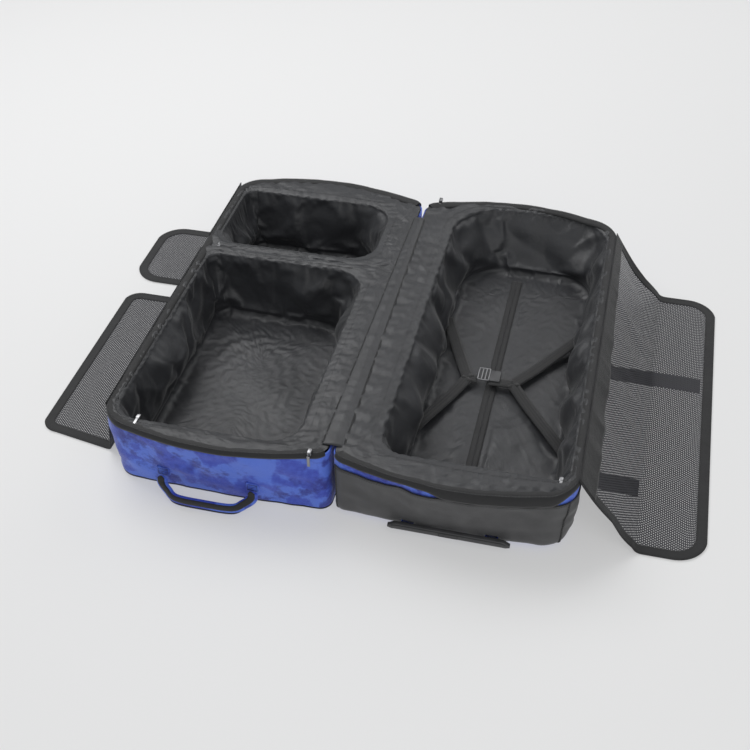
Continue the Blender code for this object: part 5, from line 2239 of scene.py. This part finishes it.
@dataclass
class Rollers(Assembly):
    """The two wheels: a tyre with a tread, and a turned hub."""

    steps: int = 56
    # From the outside inwards, as shares of half the width and of the radius
    tyre: tuple[tuple[float, float], ...] = (
        (-0.78, 0.70),
        (-0.96, 0.80),
        (-1.0, 0.92),
        (-0.80, 0.99),
        (-0.45, 1.0),
        (-0.38, 0.965),
        (-0.30, 1.0),
    )
    hub: tuple[tuple[float, float], ...] = (
        (-0.80, 0.72),
        (-0.92, 0.66),
        (-0.70, 0.60),
        (-0.62, 0.34),
        (-0.88, 0.26),
    )

    def build(self) -> None:
        """Makes both wheels."""
        for hand in HANDS:
            self.wheel(hand)

    def wheel(self, hand: str) -> None:
        """One wheel.

        Args:
            hand: left or right.
        """
        low, high = self.plan.box(f"wheel_{hand}")
        x, y, z = ((a + b) / 2 for a, b in zip(low, high))
        radius, half = (high.z - low.z) / 2, (high.x - low.x) / 2
        axle_low, axle_high = self.plan.box(f"axle_{hand}")
        bore = (axle_high.z - axle_low.z) / 2 + 0.0004
        tyre = [(a * half, r * radius) for a, r in self.mirrored(self.tyre, (0.0, 1.0))]
        self.lathe(f"wheel_{hand}_tyre", tyre, (x, y, z), Slot.TYRE, f"wheel_{hand}", (f"wheel_{hand}",))
        hub = [(a * half, r * radius) for a, r in self.hub] + [(-0.88 * half, bore)]
        self.lathe(f"wheel_{hand}_hub", self.mirrored(hub), (x, y, z), Slot.PLASTIC, f"wheel_{hand}", ())

    @staticmethod
    def mirrored(profile: Sequence[tuple[float, float]], *middle: tuple[float, float]) -> list:
        """Half a profile, then what lies in its middle, then its mirror image."""
        return [*profile, *middle, *((-along, reach) for along, reach in reversed(profile))]

    def lathe(
        self,
        name: str,
        profile: Sequence[tuple[float, float]],
        centre: tuple[float, float, float],
        slot: Slot,
        body: str,
        replaced: tuple[str, ...],
    ) -> None:
        """Turns a profile about the wheel's own axis.

        Args:
            name: the piece's name.
            profile: rows of place along the axle and reach from it.
            centre: the wheel's middle.
            slot: its finish.
            body: the body that it rides on.
            replaced: CAD nodes that it stands for.
        """
        x, y, z = centre
        turn = np.linspace(0, 2 * math.pi, self.steps + 1)[:-1]
        rows = []
        for along, reach in [*profile, profile[0]]:
            parts = (np.full(len(turn), x + along), y + reach * np.cos(turn), z + reach * np.sin(turn))
            rows.append(np.column_stack(parts))
        piece = self.shop.grid(name, np.array(rows), closed=True)
        self.shop.edit(piece, lambda shape: bmesh.ops.remove_doubles(shape, verts=shape.verts, dist=MERGE))
        self.shop.edit(piece, lambda shape: bmesh.ops.recalc_face_normals(shape, faces=shape.faces))
        self.shop.dress(piece, slot, body, *replaced)


@dataclass
class Sliders(Assembly):
    """The plated zip sliders with their pulls, and the lining's zip."""

    names: tuple[str, ...] = (
        "main_slider_near",
        "main_slider_far",
        "base_flap_slider",
        "lid_flap_slider",
        "small_flap_slider",
    )
    hanging: float = 0.01  # a slider taller than this has a hanging pull
    pull_half: float = 0.0026
    tape_width: float = 0.020
    tape_wall: float = 0.0007
    tooth: tuple[float, float, float] = (0.0010, 0.0034, 0.0011)
    pitch: float = 0.0019
    seam_out: float = 0.0085  # from the tape's middle to each seam

    def build(self) -> None:
        """Makes every slider, and the zip in the base's lining."""
        for name in self.names:
            self.slider(name)
        self.lining_zip()

    def slider(self, name: str) -> None:
        """A slider and its pull, within the CAD piece's box.

        Args:
            name: the CAD node.
        """
        low, high = self.plan.box(name)
        middle = (low + high) / 2
        size = high - low
        left, right = middle.x - self.pull_half, middle.x + self.pull_half
        if size.z > self.hanging:
            body_low, body_edge = (low.x, low.y + 0.30 * size.y, high.z - 0.0075), 0.0013
            pull_low, pull_high = (left, low.y, low.z), (right, low.y + 0.0016, high.z - 0.005)
            pull_edge = 0.0007
        else:
            body_low, body_edge = (low.x, high.y - 0.40 * size.y, low.z), 0.0011
            pull_low, pull_high = (left, low.y, middle.z), (right, high.y - 0.006, middle.z + 0.0014)
            pull_edge = 0.0006
        body = self.shop.box(f"{name}_body", body_low, tuple(high), body_edge)
        pull = self.shop.box(f"{name}_pull", pull_low, pull_high, pull_edge)
        piece = self.shop.join(f"{name}_plated", [body, pull])
        self.shop.dress(piece, Slot.STEEL, name, name)

    def lining_zip(self) -> None:
        """The zip along the base's lining: two tapes, teeth, slider and pull."""
        low, high = self.plan.box("lining_zipper")
        y = np.linspace(low.y, high.y, 120)
        x, z = (low.x + high.x) / 2, high.z - 0.0006
        path = np.column_stack([np.full(len(y), x), y, np.full(len(y), z)])
        tape = self.shop.strap("lining_zip_tape", path, (1, 0, 0), self.tape_width, self.tape_wall, 7)
        self.shop.dress(tape, Slot.BINDING, "base", "lining_zipper")
        teeth = {"pitch": self.pitch, "size": self.tooth, "slot": Slot.PLASTIC}
        self.stitches("lining_zip_teeth", path + (0, 0, 0.0006), "base", **teeth)
        for name, side in (("near", -1), ("far", 1)):
            self.stitches(f"lining_zip_seam_{name}", path + (side * self.seam_out, 0, 0.0005), "base")
        low, high = self.plan.box("lining_zip_slider")
        body = self.shop.box("lining_zip_slider_body", tuple(low), tuple(high), 0.0011)
        self.shop.dress(body, Slot.STEEL, "lining_zip_slider", "lining_zip_slider")
        low, high = self.plan.box("lining_zip_pull")
        pull = self.shop.box("lining_zip_pull_tab", tuple(low), tuple(high), 0.0004)
        self.shop.dress(pull, Slot.STEEL, "lining_zip_pull", "lining_zip_pull")


@dataclass
class Studio:
    """A pale floor, soft light and the camera."""

    place: tuple[float, float, float] = (0.37280541, -1.63944865, 1.46412973)
    look: tuple[float, float, float] = (-0.17989153, 0.73098412, -0.65825622)
    roll: float = -0.0062
    lens: float = 55.57
    floor_colour: Colour = (0.42, 0.42, 0.42)
    floor_glow: float = 0.38
    floor_reach: float = 14.0

    def build(self) -> None:
        """Sets the stage."""
        scene = bpy.context.scene
        scene.view_settings.view_transform = "Standard"
        self.floor()
        self.light("key", (-1.4, 0.9, 2.6), (0, 0, 0), 2.2, 62.0)
        self.light("fill", (1.2, -2.2, 2.0), (0, 0, 0.05), 2.4, 26.0)
        self.light("back", (0.9, 2.4, 2.0), (0, 0, 0), 2.0, 20.0)
        world = bpy.data.worlds.new("studio")
        world.use_nodes = True
        sky = world.node_tree.nodes["Background"].inputs
        sky["Color"].default_value = (0.86, 0.88, 0.90, 1.0)
        sky["Strength"].default_value = 0.34
        scene.world = world
        self.camera()

    def floor(self) -> None:
        """Makes the floor."""
        data = bpy.data.meshes.new("floor")
        turns = ((-1, -1), (1, -1), (1, 1), (-1, 1))
        points = [(x * self.floor_reach, y * self.floor_reach, 0) for x, y in turns]
        data.from_pydata(points, [], [(0, 1, 2, 3)])
        piece = bpy.data.objects.new("floor", data)
        bpy.context.scene.collection.objects.link(piece)
        paint = Tree("floor_paint")
        looks = {
            "Base Color": (*self.floor_colour, 1.0),
            "Roughness": 0.95,
            "Specular IOR Level": 0.0,
            "Emission Color": (1.0, 1.0, 1.0, 1.0),
            "Emission Strength": self.floor_glow,
        }
        for name, value in looks.items():
            paint.feed(paint.shader.inputs[name], value)
        piece.data.materials.append(paint.material)

    @staticmethod
    def light(name: str, place: Sequence[float], aim: Sequence[float], size: float, power: float) -> None:
        """Adds a soft light.

        Args:
            name: its name.
            place: where it hangs.
            aim: the point that it looks at.
            size: its width.
            power: its power, in watts.
        """
        lamp = bpy.data.lights.new(name, "AREA")
        lamp.size = size
        lamp.energy = power
        holder = bpy.data.objects.new(name, lamp)
        holder.location = place
        holder.rotation_euler = (Vector(aim) - Vector(place)).to_track_quat("-Z", "Y").to_euler()
        bpy.context.scene.collection.objects.link(holder)

    def camera(self) -> None:
        """Places the camera."""
        look = Vector(self.look).normalized()
        right = look.cross(Vector((0, 0, 1))).normalized()
        up = right.cross(look)
        c, s = math.cos(self.roll), math.sin(self.roll)
        right, up = c * right + s * up, -s * right + c * up
        turn = Matrix((right, up, -look)).transposed()
        lens = bpy.data.cameras.new("camera")
        lens.lens = self.lens
        lens.sensor_width = 36.0
        lens.clip_end = 60.0
        holder = bpy.data.objects.new("camera", lens)
        holder.matrix_world = Matrix.Translation(Vector(self.place)) @ turn.to_4x4()
        bpy.context.scene.collection.objects.link(holder)
        bpy.context.scene.camera = holder


# The CAD nodes that keep their own shape, by finish; {} stands for a hand
KEPT: dict[Slot, tuple[str, ...]] = {
    Slot.STEEL: ("axle_{}",),
    Slot.BOARD: ("base_board",),
    Slot.ALUMINIUM: ("inner_tube_{}", "mid_tube_{}", "outer_tube_{}"),
    Slot.PLASTIC: ("skid_rail_{}", "trolley_bezel", "tube_foot", "wheel_housing_{}"),
}


def keep_nodes(shop: Workshop, nodes: dict[str, bpy.types.Object]) -> None:
    """Gives the kept CAD nodes their finishes.

    Args:
        shop: the workshop that owns the materials.
        nodes: the frame's nodes.
    """
    for slot, patterns in KEPT.items():
        for name in sorted({pattern.format(hand) for pattern in patterns for hand in HANDS}):
            for holder in nodes[name].material_slots:
                holder.material = shop.material(slot)
            if not nodes[name].material_slots:
                nodes[name].data.materials.append(shop.material(slot))


def corners(box: tuple[Vector, Vector]) -> list[list[float]]:
    """A box's corners as plain lists."""
    return [[float(part) for part in corner] for corner in box]


def main() -> None:
    """Builds the bag's looks over its CAD frame."""
    logging.basicConfig(level=logging.INFO, format="%(message)s")
    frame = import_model()
    plan = Plan.read()
    shop = Workshop(plan.origin)
    for assembly in (Shells, Linings, RimZips, Flaps, Straps, GrabHandle, Trolley, Rollers, Sliders):
        assembly(shop, plan).build()
        LOG.info("built %s", assembly.__name__)
    keep_nodes(shop, frame["nodes"])
    Studio().build()


if __name__ == "__main__":
    main()
